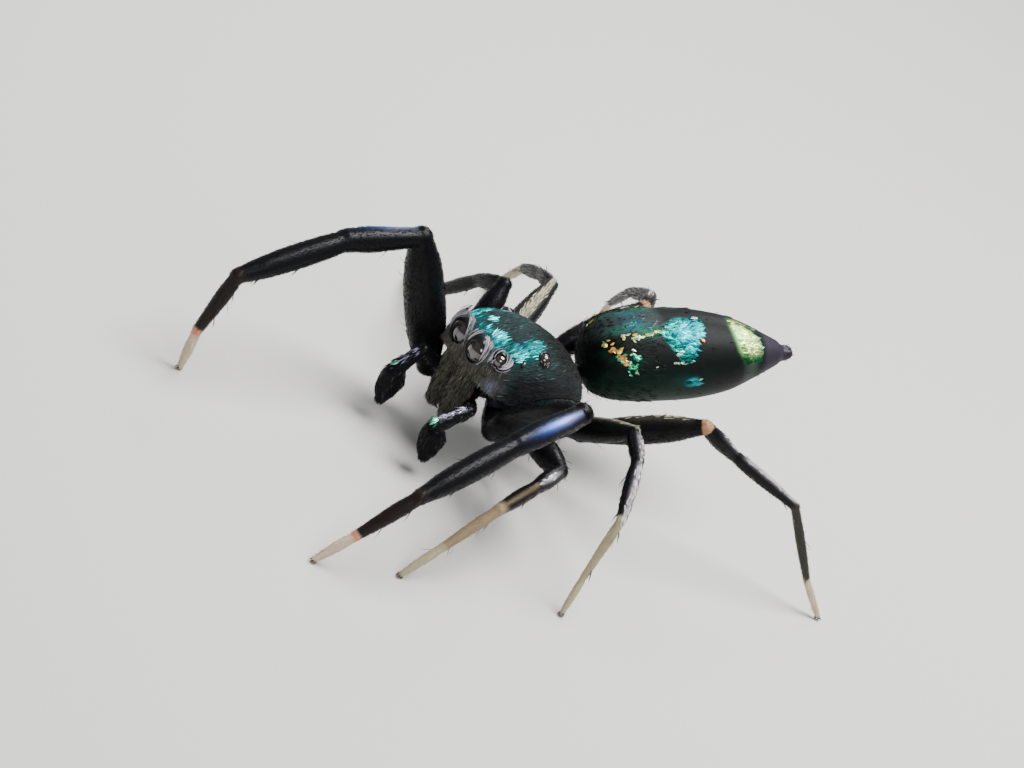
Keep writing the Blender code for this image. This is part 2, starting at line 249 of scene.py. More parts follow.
class Limb:
    """A round tapering piece between two points, its radii evenly spaced along it."""

    def __init__(self, part, start, end, radii, front=None):
        self.part = part
        self.start = np.array(start, float)
        self.length = float(np.linalg.norm(np.array(end) - self.start))
        self.along = (np.array(end) - self.start) / self.length
        self.radii = spread(radii, STATIONS)
        reach = max(radii)
        self.low = np.minimum(start, end) - reach
        self.high = np.maximum(start, end) + reach
        side = np.cross(self.along, [0, 0, 1])
        if np.linalg.norm(side) < 0.1:
            side = np.array([1.0, 0, 0])
        self.side = unit(side)
        if front is not None and self.side @ front < 0:
            self.side = -self.side
        self.up = unit(np.cross(self.side, self.along))
        if self.up[2] < 0:
            self.up = -self.up

    def place(self, points):
        """How far along each point is, from 0 to 1, and its angle from the top towards the front side."""
        off = points - self.start
        t = np.clip(off @ self.along / self.length, 0, 1)
        return t, np.arctan2(off @ self.side, off @ self.up)

    def distance(self, points):
        off = points - self.start
        t = np.clip(off @ self.along / self.length, 0, 1)
        off = off - t[..., None] * self.length * self.along
        radius = np.interp(t, np.linspace(0, 1, len(self.radii)), self.radii)
        return np.linalg.norm(off, axis=-1) - radius


class Ball:
    """A round piece. With facing it is cut flat, a distance of cut along that way."""

    def __init__(self, part, centre, radius, facing=None, cut=0.0):
        self.part = part
        self.centre = np.array(centre, float)
        self.radius = radius
        self.facing = facing
        self.cut = cut
        self.low = self.centre - radius
        self.high = self.centre + radius

    def distance(self, points):
        off = points - self.centre
        found = np.linalg.norm(off, axis=-1) - self.radius
        if self.facing is not None:
            found = np.maximum(found, off @ self.facing - self.cut)
        return found


def nearly_distance(values, step):
    """Turns a field that is 0 on a surface into about the distance from it."""
    slopes = np.gradient(values, step)
    steep = np.sqrt(sum(s * s for s in slopes))
    return values / np.maximum(steep, 0.4)


class Boxed:
    """A shape whose own box is given in the head's frame by its reach forward, to the sides and up."""

    reach = ()

    def __init__(self):
        corners = [body(*corner) for corner in product(*self.reach)]
        self.low, self.high = np.min(corners, axis=0), np.max(corners, axis=0)


class Trunk(Boxed):
    """The carapace: an arched cross-section that changes along the head and thorax."""

    part = "carapace"
    reach = ((-1.4, 1.45), (-1, 1), (-1, 0.4))

    def distance(self, points):
        forward, left, up = in_body(points)
        rows = spread(CARAPACE, 80)[::-1]
        half, margin, top, square = (np.interp(forward, rows[:, 0], rows[:, i]) for i in range(1, 5))
        half, top = half - COAT, top - COAT
        above = up > margin
        power = np.where(above, square, 2.0)
        rise = np.where(above, top - margin, HEM - COAT)
        across = np.abs(left) / half
        high = np.abs(up - margin) / np.maximum(rise, 0.02)
        values = (across**power + high**power + 1e-9) ** (1 / power) - 1
        if points.ndim == 4:
            values = nearly_distance(values, STEP)
        else:
            values = values * np.minimum(half, np.maximum(rise, 0.1))
        values = values - RIDGE[0] * hump(0, RIDGE[1], up - margin)
        values = soft_max(values, forward - CARAPACE_FRONT + COAT, 0.12)
        return soft_max(values, CARAPACE_BACK + COAT - forward, 0.10)


class Shield(Boxed):
    """The sternum: the plate between the legs, with its edge a little raised."""

    part = "sternum"
    reach = ((-1, 0.9), (-0.4, 0.4), (-1.22, -0.5))

    def distance(self, points):
        forward, left, up = in_body(points)
        rows = spread(STERNUM, 60)[::-1]
        half, top, bottom = (np.interp(forward, rows[:, 0], rows[:, i]) for i in range(1, 4))
        middle, rise = (top + bottom) / 2, (top - bottom) / 2 - 0.02
        values = np.sqrt((left / half) ** 2 + ((up - middle) / rise) ** 2) - 1
        values = values * np.minimum(half, rise)
        values = soft_max(values, forward - STERNUM_FRONT, 0.05)
        return soft_max(values, STERNUM_BACK - forward, 0.05)


class Tail:
    """The abdomen: a smooth outline turned about its own axis."""

    part = "abdomen"

    def __init__(self):
        reach = ABDOMEN_FRONT + ABDOMEN_AXIS * 3.9
        self.low = np.minimum(ABDOMEN_FRONT, reach) - 0.9
        self.high = np.maximum(ABDOMEN_FRONT, reach) + 0.9
        self.outline = spread(ABDOMEN, 70)

    def place(self, points):
        """Distance along the axis, angle from the top towards the left, and distance from the axis."""
        off = points - ABDOMEN_FRONT
        left = off @ ABDOMEN_LEFT / ABDOMEN_WIDTH
        up = off @ ABDOMEN_UP
        return off @ ABDOMEN_AXIS, np.arctan2(left, up), np.hypot(left, up)

    def distance(self, points):
        along, _, out = self.place(points)
        shape = along.shape
        along, out = along.ravel(), out.ravel()
        near = np.full(along.shape, 9.0)
        for a, b in zip(self.outline, self.outline[1:]):
            run = b - a
            t = ((along - a[0]) * run[0] + (out - a[1]) * run[1]) / (run @ run)
            t = np.clip(t, 0, 1)
            gap = np.hypot(along - a[0] - t * run[0], out - a[1] - t * run[1])
            near = np.minimum(near, gap)
        limit = np.interp(along, self.outline[:, 0], self.outline[:, 1], left=0, right=0)
        inside = (out < limit) & (along > 0) & (along < self.outline[-1, 0])
        return np.where(inside, -near, near).reshape(shape)


def soft_min(a, b, blend):
    h = np.clip(0.5 + 0.5 * (b - a) / blend, 0, 1)
    return b * (1 - h) + a * h - blend * h * (1 - h)


def soft_max(a, b, blend):
    return -soft_min(-a, -b, blend)


STEP = 0.027  # between the points at which the field of distances is known
MARGIN = 0.2


class Clay:
    """A field of distances to one skin, which shapes are pressed onto and cut out of."""

    def __init__(self, low, high):
        self.low = np.array(low, float)
        counts = np.ceil((np.array(high) - self.low) / STEP).astype(int) + 1
        self.field = np.full(counts, 1.0, np.float32)

    def block(self, shape):
        first = ((shape.low - MARGIN - self.low) / STEP).astype(int)
        last = ((shape.high + MARGIN - self.low) / STEP).astype(int) + 2
        first = np.clip(first, 0, self.field.shape)
        last = np.clip(last, 0, self.field.shape)
        rows = [self.low[i] + STEP * np.arange(first[i], last[i]) for i in range(3)]
        where = tuple(slice(a, b) for a, b in zip(first, last))
        return where, np.stack(np.meshgrid(*rows, indexing="ij"), -1)

    def press(self, shape, blend=0.03):
        where, points = self.block(shape)
        self.field[where] = soft_min(self.field[where], shape.distance(points), blend)

    def cut(self, shape, blend=0.01):
        where, points = self.block(shape)
        self.field[where] = soft_max(self.field[where], -shape.distance(points), blend)

    def height(self, points):
        """The distance from the skin at any points."""
        at = np.clip((points - self.low) / STEP, 0, np.array(self.field.shape) - 1.001)
        cell = at.astype(int)
        part = at - cell
        found = np.zeros(len(points))
        for corner in product((0, 1), repeat=3):
            weight = np.prod(np.where(np.array(corner) == 1, part, 1 - part), axis=1)
            i, j, k = (cell + np.array(corner)).T
            found += weight * self.field[i, j, k]
        return found

    def outward(self, points):
        steps = np.eye(3) * STEP * 0.6
        return unit(np.stack([self.height(points + s) - self.height(points - s) for s in steps], -1))

    def settle(self, points, times=3):
        """Moves points onto the skin."""
        for _ in range(times):
            points = points - self.outward(points) * self.height(points)[:, None]
        return points

    def surface(self):
        """The skin as points and four-sided faces."""
        field = self.field
        inside = field < 0
        size = np.array(field.shape) - 1
        count = np.zeros(size, np.uint8)
        offsets = list(product((0, 1), repeat=3))
        for i, j, k in offsets:
            count += inside[i : size[0] + i, j : size[1] + j, k : size[2] + k]
        cells = np.flatnonzero((count > 0) & (count < 8))
        places = np.stack(np.unravel_index(cells, size), 1)
        values = {o: field[tuple((places + np.array(o)).T)] for o in offsets}
        total = np.zeros((len(cells), 3))
        hits = np.zeros(len(cells))
        for a, b in product(offsets, offsets):
            if sum(b) - sum(a) != 1 or min(np.array(b) - np.array(a)) < 0:
                continue
            crossed = (values[a] < 0) != (values[b] < 0)
            share = values[a][crossed] / (values[a][crossed] - values[b][crossed])
            total[crossed] += np.array(a) + share[:, None] * (np.array(b) - np.array(a))
            hits[crossed] += 1
        points = self.low + STEP * (places + total / hits[:, None])
        faces = []
        for axis in range(3):
            first = np.take(inside, range(size[axis]), axis=axis)
            second = np.take(inside, range(1, size[axis] + 1), axis=axis)
            edges = np.argwhere(first != second)
            leaving = first[tuple(edges.T)]
            u, v = np.eye(3, dtype=int)[[(axis + 1) % 3, (axis + 2) % 3]]
            around = [edges - u - v, edges - v, edges, edges - u]
            ring = [np.searchsorted(cells, np.ravel_multi_index(tuple(c.T), size)) for c in around]
            ring = np.stack(ring, 1)
            ring[~leaving] = ring[~leaving][:, ::-1]
            faces.append(ring)
        return points, np.concatenate(faces)


SOCKET_GAP = 0.004  # between an eye and the skin round it
RIM_AHEAD = 0.42  # how far a rim reaches in front of its eye's middle, as a share of the radius


def eye_places():
    """Each eye's name, side and sign, its middle and radius, its rim's width and the way it looks."""
    for name, (*place, radius, rim, (ahead, out, rise)) in EYES.items():
        for side, sign in SIDES:
            yield name, side, sign, mirrored(place, sign), radius, rim, body_way(ahead, sign * out, rise)


# Limbs of both sides in the head's frame: part, left one's start and end, radii, and how softly it joins.
# The pleura is the soft wall between the leg roots and the carapace's edge.
PAIRED = (
    ("pleura", (0.64, 0.60, -0.86), (-0.95, 0.46, -0.82), (0.16, 0.17, 0.15), 0.03),
    ("chelicera", (1.16, 0.215, -0.34), (1.21, 0.225, -1.36), (0.20, 0.215, 0.20, 0.15), 0.05),
    ("mouth", (0.80, 0.20, -1.00), (1.06, 0.21, -1.16), (0.10, 0.12, 0.10), 0.015),
)
TONGUE = ((0.80, 0, -1.06), (1.00, 0, -1.15), (0.07, 0.08, 0.055))
WAIST_RADII = (0.09, 0.085, 0.10, 0.13)
SPINNERET_RADII = (0.13, 0.115, 0.085)
CLUB_RADII = (0.135, 0.19, 0.205, 0.195, 0.165, 0.10)


def shapes_of_the_body():
    """Every shape of the one skin, with how softly it joins what is there already."""
    found = [(Trunk(), 0.03), (Shield(), 0.04), (Tail(), 0.03)]

    def add(blend, *limb):
        found.append((Limb(*limb), blend))

    waist_end = ABDOMEN_FRONT + ABDOMEN_AXIS * 0.45 - ABDOMEN_UP * 0.30
    add(0.05, "pedicel", body(CARAPACE_BACK + 0.12, 0, -0.72), waist_end, WAIST_RADII)
    for left, high, reach in SPINNERETS:
        for sign in (1, -1) if left else (1,):
            start = ABDOMEN_FRONT + ABDOMEN_AXIS * 3.50 + ABDOMEN_LEFT * sign * left + ABDOMEN_UP * high
            end = ABDOMEN_FRONT + ABDOMEN_AXIS * reach
            end = end + ABDOMEN_LEFT * sign * left * 0.9 + ABDOMEN_UP * high * 0.5
            add(0.05, "spinneret", start, end, SPINNERET_RADII)
    for side, sign in SIDES:
        for part, start, end, radii, blend in PAIRED:
            add(blend, part, mirrored(start, sign), mirrored(end, sign), radii)
        base, knee, wrist, tip = (body(*p) for p in PALPS[side])
        middle = (knee + wrist) / 2
        palp = f"palp_{side}"
        add(0.02, palp, base, knee, (0.085, 0.10, 0.11, 0.095))
        add(0.02, palp, knee, middle, (0.095, 0.12, 0.105))
        add(0.02, palp, middle, wrist, (0.10, 0.125, 0.12))
        add(0.02, palp, wrist, wrist + (tip - wrist) * 0.96, CLUB_RADII)
        bulb = wrist + (tip - wrist) * 0.45 + body_way(-1, 0, 0) * 0.10
        found.append((Ball(palp, bulb, 0.165), 0.02))
        for pair in LEG_ROOTS:
            points = joints(side, pair)
            front = body_way(1, 0, 0) if pair > 1 else body_way(1, -sign * 0.5, 0)
            for k, radii in enumerate(SKIN_RADII[pair]):
                add(0.025, f"{side}_{pair}_{SEGMENTS[k]}", points[k], points[k + 1], radii, front)
    add(0.015, "mouth", body(*TONGUE[0]), body(*TONGUE[1]), TONGUE[2])
    return found


def mould():
    """Presses every shape into one skin and cuts the eyes' sockets into it."""
    shapes = shapes_of_the_body()
    low = np.min([s.low for s, _ in shapes], axis=0) - MARGIN
    high = np.max([s.high for s, _ in shapes], axis=0) + MARGIN
    clay = Clay(low, high)
    for shape, blend in shapes:
        clay.press(shape, blend)
    for _, _, _, centre, radius, rim, facing in eye_places():
        clay.press(Ball("rim", centre, radius + rim, facing, radius * RIM_AHEAD), 0.02)
    for _, _, _, centre, radius, _, _ in eye_places():
        clay.cut(Ball("rim", centre, radius + SOCKET_GAP), 0.008)
    return clay, [s for s, _ in shapes]


def nearest_shape(points, shapes):
    """For each point the number of the shape that it lies on."""
    best = np.full(len(points), 9.0)
    found = np.zeros(len(points), int)
    for n, shape in enumerate(shapes):
        near = np.all((points > shape.low - 0.1) & (points < shape.high + 0.1), axis=1)
        rows = np.flatnonzero(near)
        if not len(rows):
            continue
        gap = shape.distance(points[rows])
        closer = gap < best[rows]
        best[rows[closer]] = gap[closer]
        found[rows[closer]] = n
    return found


# Colours as linear red, green and blue.
BLACK = (0.0036, 0.0036, 0.0044)
GREEN_BLACK = (0.0026, 0.0044, 0.0040)
SOOT = (0.008, 0.0075, 0.0085)
BROWN = (0.014, 0.010, 0.0085)
TAN = (0.21, 0.155, 0.092)
CREAM = (0.47, 0.38, 0.27)
PALE_YELLOW = (0.33, 0.295, 0.18)
PALE_HAIR = (0.40, 0.38, 0.27)
RING_ORANGE = (0.62, 0.17, 0.08)
KNEE_ORANGE = (0.66, 0.36, 0.18)
WHITE_HAIR = (0.50, 0.47, 0.49)
TURQUOISE = (0.0, 0.30, 0.31)
CYAN = (0.0, 0.34, 0.44)
SEA_GREEN = (0.01, 0.36, 0.22)
EMERALD = (0.001, 0.013, 0.008)
GREEN = (0.02, 0.44, 0.14)
GOLD = (0.75, 0.50, 0.05)
AMBER = (0.85, 0.30, 0.03)
MINT = (0.08, 0.42, 0.22)
IVORY = (0.42, 0.44, 0.30)
PALE_GREEN = (0.76, 0.96, 0.30)
RUBY = (0.85, 0.05, 0.08)
# A painted reflection of the sky, grey over the abdomen's front.
SKY_SHEEN_GREY = (0.030, 0.037, 0.039)
TEAL_GREY = (0.016, 0.026, 0.027)
LILAC = (0.42, 0.40, 0.55)
PLUM = (0.022, 0.018, 0.027)
# Blue and pale lilac of the first patellas' painted highlight, a reflection of the sky.
PERIWINKLE = (0.05, 0.11, 0.42)
PALE_LILAC = (0.20, 0.24, 0.52)
FACE_GREY = (0.048, 0.046, 0.037)
FACE_HAIR = (0.125, 0.12, 0.095)
STRAND_GREY = (0.33, 0.31, 0.35)
GREY_HAIR = (0.09, 0.085, 0.09)
STEEL_BLUE = (0.13, 0.18, 0.30)
DIM_TEAL = (0.05, 0.085, 0.085)
DEEP_TEAL = (0.0, 0.11, 0.11)
PALE_TURQUOISE = (0.45, 0.62, 0.60)
SPARKLE = (0.26, 0.40, 0.30)
OLIVE_GOLD = (0.42, 0.40, 0.12)
OLIVE_SHADE = (0.024, 0.036, 0.026)
BROWN_BLACK = (0.012, 0.011, 0.010)
DOT_BLUE = (0.04, 0.62, 0.74)
HIGHLIGHT_SILVER = (0.55, 0.55, 0.60)
PALP_LILAC = (0.17, 0.165, 0.22)
PALP_MINT = (0.10, 0.50, 0.30)
PAD_BROWN = (0.10, 0.085, 0.07)
HORN = (0.035, 0.018, 0.010, 1)
LENS_BROWN = (0.022, 0.014, 0.009)
FLOOR_GREY = (0.55, 0.54, 0.52, 1)
SKY = (0.80, 0.84, 0.90, 1)


def blend_to(colours, target, weight):
    weight = np.clip(weight, 0, 1)[:, None]
    return colours * (1 - weight) + np.array(target) * weight


def swap(chosen, target, values):
    """The values, with target in the chosen rows."""
    return np.where(chosen[:, None], target, values)


def plain(colour, count):
    """The same colour count times."""
    return np.tile(np.array(colour, float), (count, 1))


def blotches(points, size, seed):
    """Soft irregular spots of about the given size, from 0 to 1."""
    own = np.random.default_rng(seed)
    total = np.zeros(len(points))
    for _ in range(7):
        wave = unit(own.normal(0, 1, 3)) * 2 * pi / (size * own.uniform(1.4, 2.8))
        total += np.sin(points @ wave + own.uniform(0, 2 * pi))
    return 1 / (1 + np.exp(-1.3 * total))


LEG_COLOURS = {
    1: (BLACK, BLACK, BLACK, BLACK, BROWN, CREAM),
    2: (BLACK, BLACK, BLACK, BLACK, TAN, PALE_YELLOW),
    3: (BLACK, BLACK, BLACK, BLACK, PALE_YELLOW, PALE_YELLOW),
    4: (BLACK, BLACK, BLACK, BLACK, (0.030, 0.027, 0.022), CREAM),
}


# Pale stripes, by leg and segment: strength, the angle of the middle and half width, and where along the
# segment the stripe starts, is full, fades and ends. One that doesn't fade ends past the segment.
STRIPES = {
    (3, 1): (0.9, 0.0, 0.42, 0.25, 0.45, 2, 3),
    (3, 2): (0.6, -0.25, 0.45, 0.1, 0.3, 2, 3),
    (3, 3): (1.0, -0.30, 0.50, 0.0, 0.1, 2, 3),
    (4, 1): (0.20, 0.0, 0.5, 0.25, 0.5, 0.85, 0.95),
    (4, 2): (0.5, 0.25, 0.45, 0.2, 0.7, 2, 3),
    (4, 3): (1.0, 0.25, 0.45, 0.08, 0.2, 0.92, 1.0),
}
# Painted highlights, spindles of pale metallic colour on the first two patellas: half width as an angle, and
# the middle along the segment.
GLEAMS = {(1, 2): (0.36, 0.42), (2, 2): (0.26, 0.62)}


def stripe_of(pair, segment, t, angle):
    """How strongly the pale stripe along the top of the third and fourth legs shows."""
    if (pair, segment) not in STRIPES:
        return np.zeros(len(t))
    strength, middle, width, start, full, fading, end = STRIPES[pair, segment]
    return strength * hump(middle, width, angle) * ease(start, full, t) * (1 - ease(fading, end, t))


def gleam_of(pair, segment, t, angle):
    """How strongly the spindle on top of the first two patellas shows: a highlight painted as pale shining
    scales and skin.
    """
    if (pair, segment) not in GLEAMS:
        return np.zeros(len(t))
    width, middle = GLEAMS[pair, segment]
    return hump(-0.50, width, angle) * hump(middle, 0.30, t)


def leg_colour(pair, segment, t, angle):
    """Colour, metal and roughness on a leg: t along the segment, angle from its top to its front side."""
    own = LEG_COLOURS[pair]
    colours = np.tile(np.array(own[segment], float), (len(t), 1))
    if segment < 5:
        colours = blend_to(colours, own[segment + 1], 0.9 * ease(0.93, 1.0, t))
    if pair == 1:
        ring = ease(0.97, 1.0, t) if segment == 4 else (1 - ease(0.05, 0.11, t)) * (segment == 5)
        colours = blend_to(colours, RING_ORANGE, 0.9 * ring)
    if pair == 4:
        knee = ease(0.975, 0.99, t) if segment == 1 else (1 - ease(0.02, 0.06, t)) * (segment == 2)
        colours = blend_to(colours, KNEE_ORANGE, 0.5 * knee)
        ankle = ease(0.96, 1.0, t) * (segment == 4)
        colours = blend_to(colours, CREAM, ankle)
    if pair == 2 and segment == 3:
        colours = blend_to(colours, TAN, np.maximum(ease(0.80, 1.0, t), 0.5 * hump(-0.3, 0.35, angle)))
    if pair == 2 and segment == 4:
        colours = blend_to(colours, BROWN, 0.55 * ease(1.6, 2.6, np.abs(angle + 0.4)))
    if pair == 3 and segment == 3:
        colours = blend_to(colours, PALE_YELLOW, ease(0.92, 1.0, t))
    stripe = stripe_of(pair, segment, t, angle)
    colours = blend_to(colours, PALE_HAIR if segment == 1 else WHITE_HAIR, 0.45 * stripe)
    # The gleam is a painted highlight: blue fading to pale lilac on the first legs, white on the second.
    gleam = gleam_of(pair, segment, t, angle)
    sheen = blend_to(plain(PERIWINKLE, len(t)), PALE_LILAC, 1 - ease(0.2, 0.7, t))
    sheen = sheen if pair == 1 else plain(WHITE_HAIR, len(t))
    colours = colours + (sheen - colours) * (0.95 * gleam)[:, None]
    return colours, 0.6 * gleam, SATIN + 0.04 * gleam


# The bright band: the angle down from the abdomen's top, and where it starts and ends along it.
BAND = np.array((
    (0, 1.66, 1.96), (10, 1.48, 2.06), (25, 1.31, 2.06), (36, 1.40, 1.97), (48, 1.52, 1.88),
    (58, 1.64, 1.82), (65, 1.72, 1.75),
))
CRESCENT = np.array((
    (0, 2.69, 3.12), (12, 2.72, 3.18), (31, 2.77, 3.27), (50, 2.84, 3.28), (64, 2.95, 3.27),
    (80, 2.98, 3.24),
))
# The black oval on each side, and the two rows of glinting spots round it: along and angle.
OVAL = (0.84, 42, 0.62, 19)
UPPER_ROW = np.array(((0.50, 27), (0.70, 30), (0.90, 31), (1.08, 28), (1.24, 25)))
LOWER_ROW = np.array(((0.19, 29), (0.30, 41), (0.43, 48), (0.50, 56), (0.60, 64), (0.74, 71), (0.98, 75)))
MIDDLE_ROW = np.array(((0.62, 48), (0.70, 60), (0.80, 56), (0.86, 64), (1.17, 69)))


TEAL_GLOW = (0.004, 0.13, 0.15)
GREEN_GLOW = (0.004, 0.10, 0.06)
ROW_GLOW = (0.004, 0.12, 0.07)
# Painted glows of sheen on the abdomen's front: colour, strength, and the middle and half width along it and
# in degrees.
FRONT_GLOWS = (
    (TEAL_GLOW, 0.55, 0.84, 0.22, 12, 9),
    (GREEN_GLOW, 0.65, 0.50, 0.20, 20, 8),
    (ROW_GLOW, 0.6, 1.10, 0.25, 24, 7),
)


def within(table, along, side, soft):
    """1 between a table's start and end at each angle, falling off over about soft."""
    start = np.interp(side, table[:, 0], table[:, 1])
    end = np.interp(side, table[:, 0], table[:, 2])
    return ease(-soft, soft, along - start) * (1 - ease(-soft, soft, along - end)), start, end


def abdomen_paint(along, angle):
    """Colour, metal, roughness, how bright the scales are and the painted sky sheen, at a place on the
    abdomen.
    """
    signed = np.degrees(angle)
    side = np.abs(signed)
    shade = plain(GREEN_BLACK, len(along))
    oval = np.hypot((along - OVAL[0]) / OVAL[2], (side - OVAL[1]) / OVAL[3])
    # The bands reach to about 12 degrees from the top on the left but only to about 42 on the right: the
    # right side's top is left dark, painted shade.
    beside = ease(-2, 12, signed) + ease(26, 42, -signed)
    front = 1 - ease(1.25, 1.50, along)
    # The painted sky sheen: a grey reflection over the front of the top, with painted glows in it.
    sky_sheen = front * (1 - ease(16, 32, side)) * ease(0.05, 0.30, along) * ease(0.85, 1.1, oval)
    shade = blend_to(shade, SKY_SHEEN_GREY, 0.9 * sky_sheen)
    for colour, strength, middle, length, turn, width in FRONT_GLOWS:
        glow = strength * hump(middle, length, along) * hump(turn, width, side)
        shade = blend_to(shade, colour, glow * (front if colour == ROW_GLOW else sky_sheen))
    lower = ease(60, 90, side) * (1 - ease(150, 178, side)) * (1 - ease(1.6, 2.6, along))
    arc = hump(1.1, 0.3, oval) * ease(40, 52, side) * (1 - ease(0.9, 1.2, along))
    shade = blend_to(shade, EMERALD, np.maximum(0.9 * lower, arc))
    band, start, _ = within(BAND, along, side, 0.055)
    band = band * (1 - ease(60, 67, side)) * beside
    dot = hump(1.92, 0.085, along) * hump(90, 4.5, side)
    # A faint painted teal glow beside the blue dot.
    glow = 0.05 * hump(1.72, 0.16, along) * hump(86, 7, side)
    shade = blend_to(shade, TURQUOISE, np.maximum(band, np.maximum(dot, glow)))
    shade = blend_to(shade, DOT_BLUE, dot)
    shade = blend_to(shade, SEA_GREEN, 0.4 * band * (1 - ease(0.0, 0.2, along - start)))
    shade = blend_to(shade, CYAN, 0.8 * band * hump(1.72, 0.22, along) * hump(22, 16, side))
    crescent, start, end = within(CRESCENT, along, side, 0.10)
    part = (along - start) / (end - start)
    low_side = ease(58, 76, side)
    grey = crescent * low_side * (1 - ease(100, 125, side))
    crescent = crescent * (1 - low_side) * np.maximum(beside, 0.25 * ease(-16, -6, signed))
    middle = hump(0.5, 0.40, part) * (1 - ease(50, 66, side)) * ease(-4, 20, side)
    shade = blend_to(shade, OLIVE_SHADE, grey)
    shade = blend_to(shade, GREEN, crescent * 0.6)
    shade = blend_to(shade, SEA_GREEN, crescent * ease(0.7, 1.0, part) * 0.5)
    shade = blend_to(shade, PALE_GREEN, crescent**0.6 * middle)
    shade = blend_to(shade, PLUM, ease(3.34, 3.50, along))
    bright = np.clip(band + dot + crescent, 0, 1)
    metal = np.clip(0.04 + 0.45 * sky_sheen + 0.7 * bright + 0.1 * lower, 0, 0.9)
    return shade, metal, 0.56 - 0.18 * bright, bright, sky_sheen


# The turquoise patches on each side of the head: forward, left, their half sizes and their strength.
FIELD = (
    (1.14, 0.02, 0.15, 0.20, 1.0), (1.04, 0.33, 0.15, 0.17, 1.0), (0.88, 0.20, 0.12, 0.10, 0.6),
    (0.86, 0.58, 0.16, 0.12, 1.0), (0.62, 0.68, 0.16, 0.12, 1.1), (0.40, 0.55, 0.17, 0.14, 1.2),
    (0.22, 0.46, 0.12, 0.09, 1.0),
)


def head_paint(points, normals):
    """On the head and thorax: colour, metal, roughness, shares of turquoise, face, rims and blue cheek."""
    forward, left, up = in_body(points)
    out = np.abs(left)
    shade = plain(TEAL_GREY, len(points))
    facing_up = ease(0.30, 0.65, normals @ body_way(0, 0, 1))
    field = np.zeros(len(points))
    for ahead, beside, long, wide, strength in FIELD:
        patch = strength * np.exp(-(((forward - ahead) / long) ** 2) - ((out - beside) / wide) ** 2)
        field = np.maximum(field, patch)
    # Painted shade: the turquoise on the right side is dimmed to a quarter at the rear and less towards the
    # front.
    shaded_far_side = 1 - ease(-0.12, 0.05, left)
    field = field * (1 - shaded_far_side * (0.75 - 0.6 * ease(0.45, 0.75, forward)))
    turquoise = np.minimum(field, 1) * facing_up
    face = ease(0.45, 0.8, normals @ body_way(1, 0, 0)) * ease(0.9, 1.1, forward)
    cheek = ease(0.80, 1.05, forward) * (1 - ease(-0.12, -0.02, up))
    shade = blend_to(shade, FACE_GREY, 0.85 * np.maximum(face, cheek))
    flank = (1 - facing_up) * (1 - ease(0.6, 0.9, forward)) * (1 - ease(-0.25, 0.0, up))
    shade = blend_to(shade, SOOT, 0.85 * flank)
    slope = (1 - ease(-0.35, 0.0, forward)) * facing_up
    shade = blend_to(shade, BROWN_BLACK, 0.8 * slope)
    rim = np.full(len(points), 9.0)
    for _, _, _, centre, radius, width, _ in eye_places():
        gap = np.linalg.norm(points - centre, axis=1) - radius
        rim = np.minimum(rim, gap / max(width, 0.02))
    rimmed = 1 - ease(1.1, 1.7, rim)
    shade = blend_to(shade, BLACK, rimmed)
    turquoise = turquoise * (1 - rimmed)
    shade = blend_to(shade, DEEP_TEAL, 0.6 * turquoise)
    blue = hump(1.07, 0.13, forward) * hump(-0.36, 0.13, up) * ease(0.5, 0.7, out)
    shade = blend_to(shade, LILAC, 0.25 * blue)
    rough = 0.46 - 0.1 * turquoise - 0.14 * rimmed
    return shade, 0.10 + 0.5 * turquoise, rough, turquoise, np.maximum(face, cheek), rimmed, blue


SATIN = 0.36  # the roughness of bare black skin
# How much clear coat each part's bare skin has.
GLOSS = {"leg": 0.04, "abdomen": 0.02, "carapace": 0.02, "chelicera": 0.03, "palp": 0.05}

# Parts of one colour all over.
PLAIN = {"sternum": SOOT, "pedicel": PLUM, "pleura": PLUM, "spinneret": PLUM, "mouth": BROWN,
         "chelicera": FACE_GREY}


def paint(points, normals, owners, shapes):
    """Colour, metal, roughness and gloss at every point of the skin."""
    shade = plain(BLACK, len(points))
    metal = np.zeros(len(points))
    rough = np.full(len(points), SATIN)
    gloss = np.full(len(points), GLOSS["leg"])
    for n, shape in enumerate(shapes):
        rows = np.flatnonzero(owners == n)
        if not len(rows):
            continue
        gloss[rows] = GLOSS.get(shape.part.split("_")[0], GLOSS["leg"])
        if shape.part == "abdomen":
            along, angle, _ = shape.place(points[rows])
            shade[rows], metal[rows], rough[rows], _, _ = abdomen_paint(along, angle)
        elif shape.part == "carapace":
            shade[rows], metal[rows], rough[rows], _, _, rimmed, _ = head_paint(points[rows], normals[rows])
            gloss[rows] += 0.6 * rimmed
        elif shape.part in PLAIN:
            shade[rows] = PLAIN[shape.part]
            rough[rows] = 0.5 if shape.part == "chelicera" else SATIN
        elif not shape.part.startswith("palp"):
            side, pair, segment = shape.part.split("_")
            t, angle = shape.place(points[rows])
            number = SEGMENTS.index(segment)
            shade[rows], metal[rows], rough[rows] = leg_colour(int(pair), number, t, angle)
    return shade, metal, rough, gloss


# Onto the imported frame: an eye's solid says where the model's own origin went.
low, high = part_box("eye_front_middle_left")
SHIFT = np.array((low + high) / 2) - mirrored(EYES["front_middle"][:3], 1) * MM


def to_metres(points):
    return points * MM + SHIFT


class Value:
    """A shader socket that can be reckoned with."""

    def __init__(self, tree, socket):
        self.tree = tree
        self.socket = socket

    def math(self, operation, other):
        return self.tree.node("ShaderNodeMath", {"operation": operation}, (self, other))

    def __add__(self, other):
        return self.math("ADD", other)

    __radd__ = __add__

    def __rmul__(self, other):
        return self.math("MULTIPLY", other)

    def __sub__(self, other):
        return self.math("SUBTRACT", other)


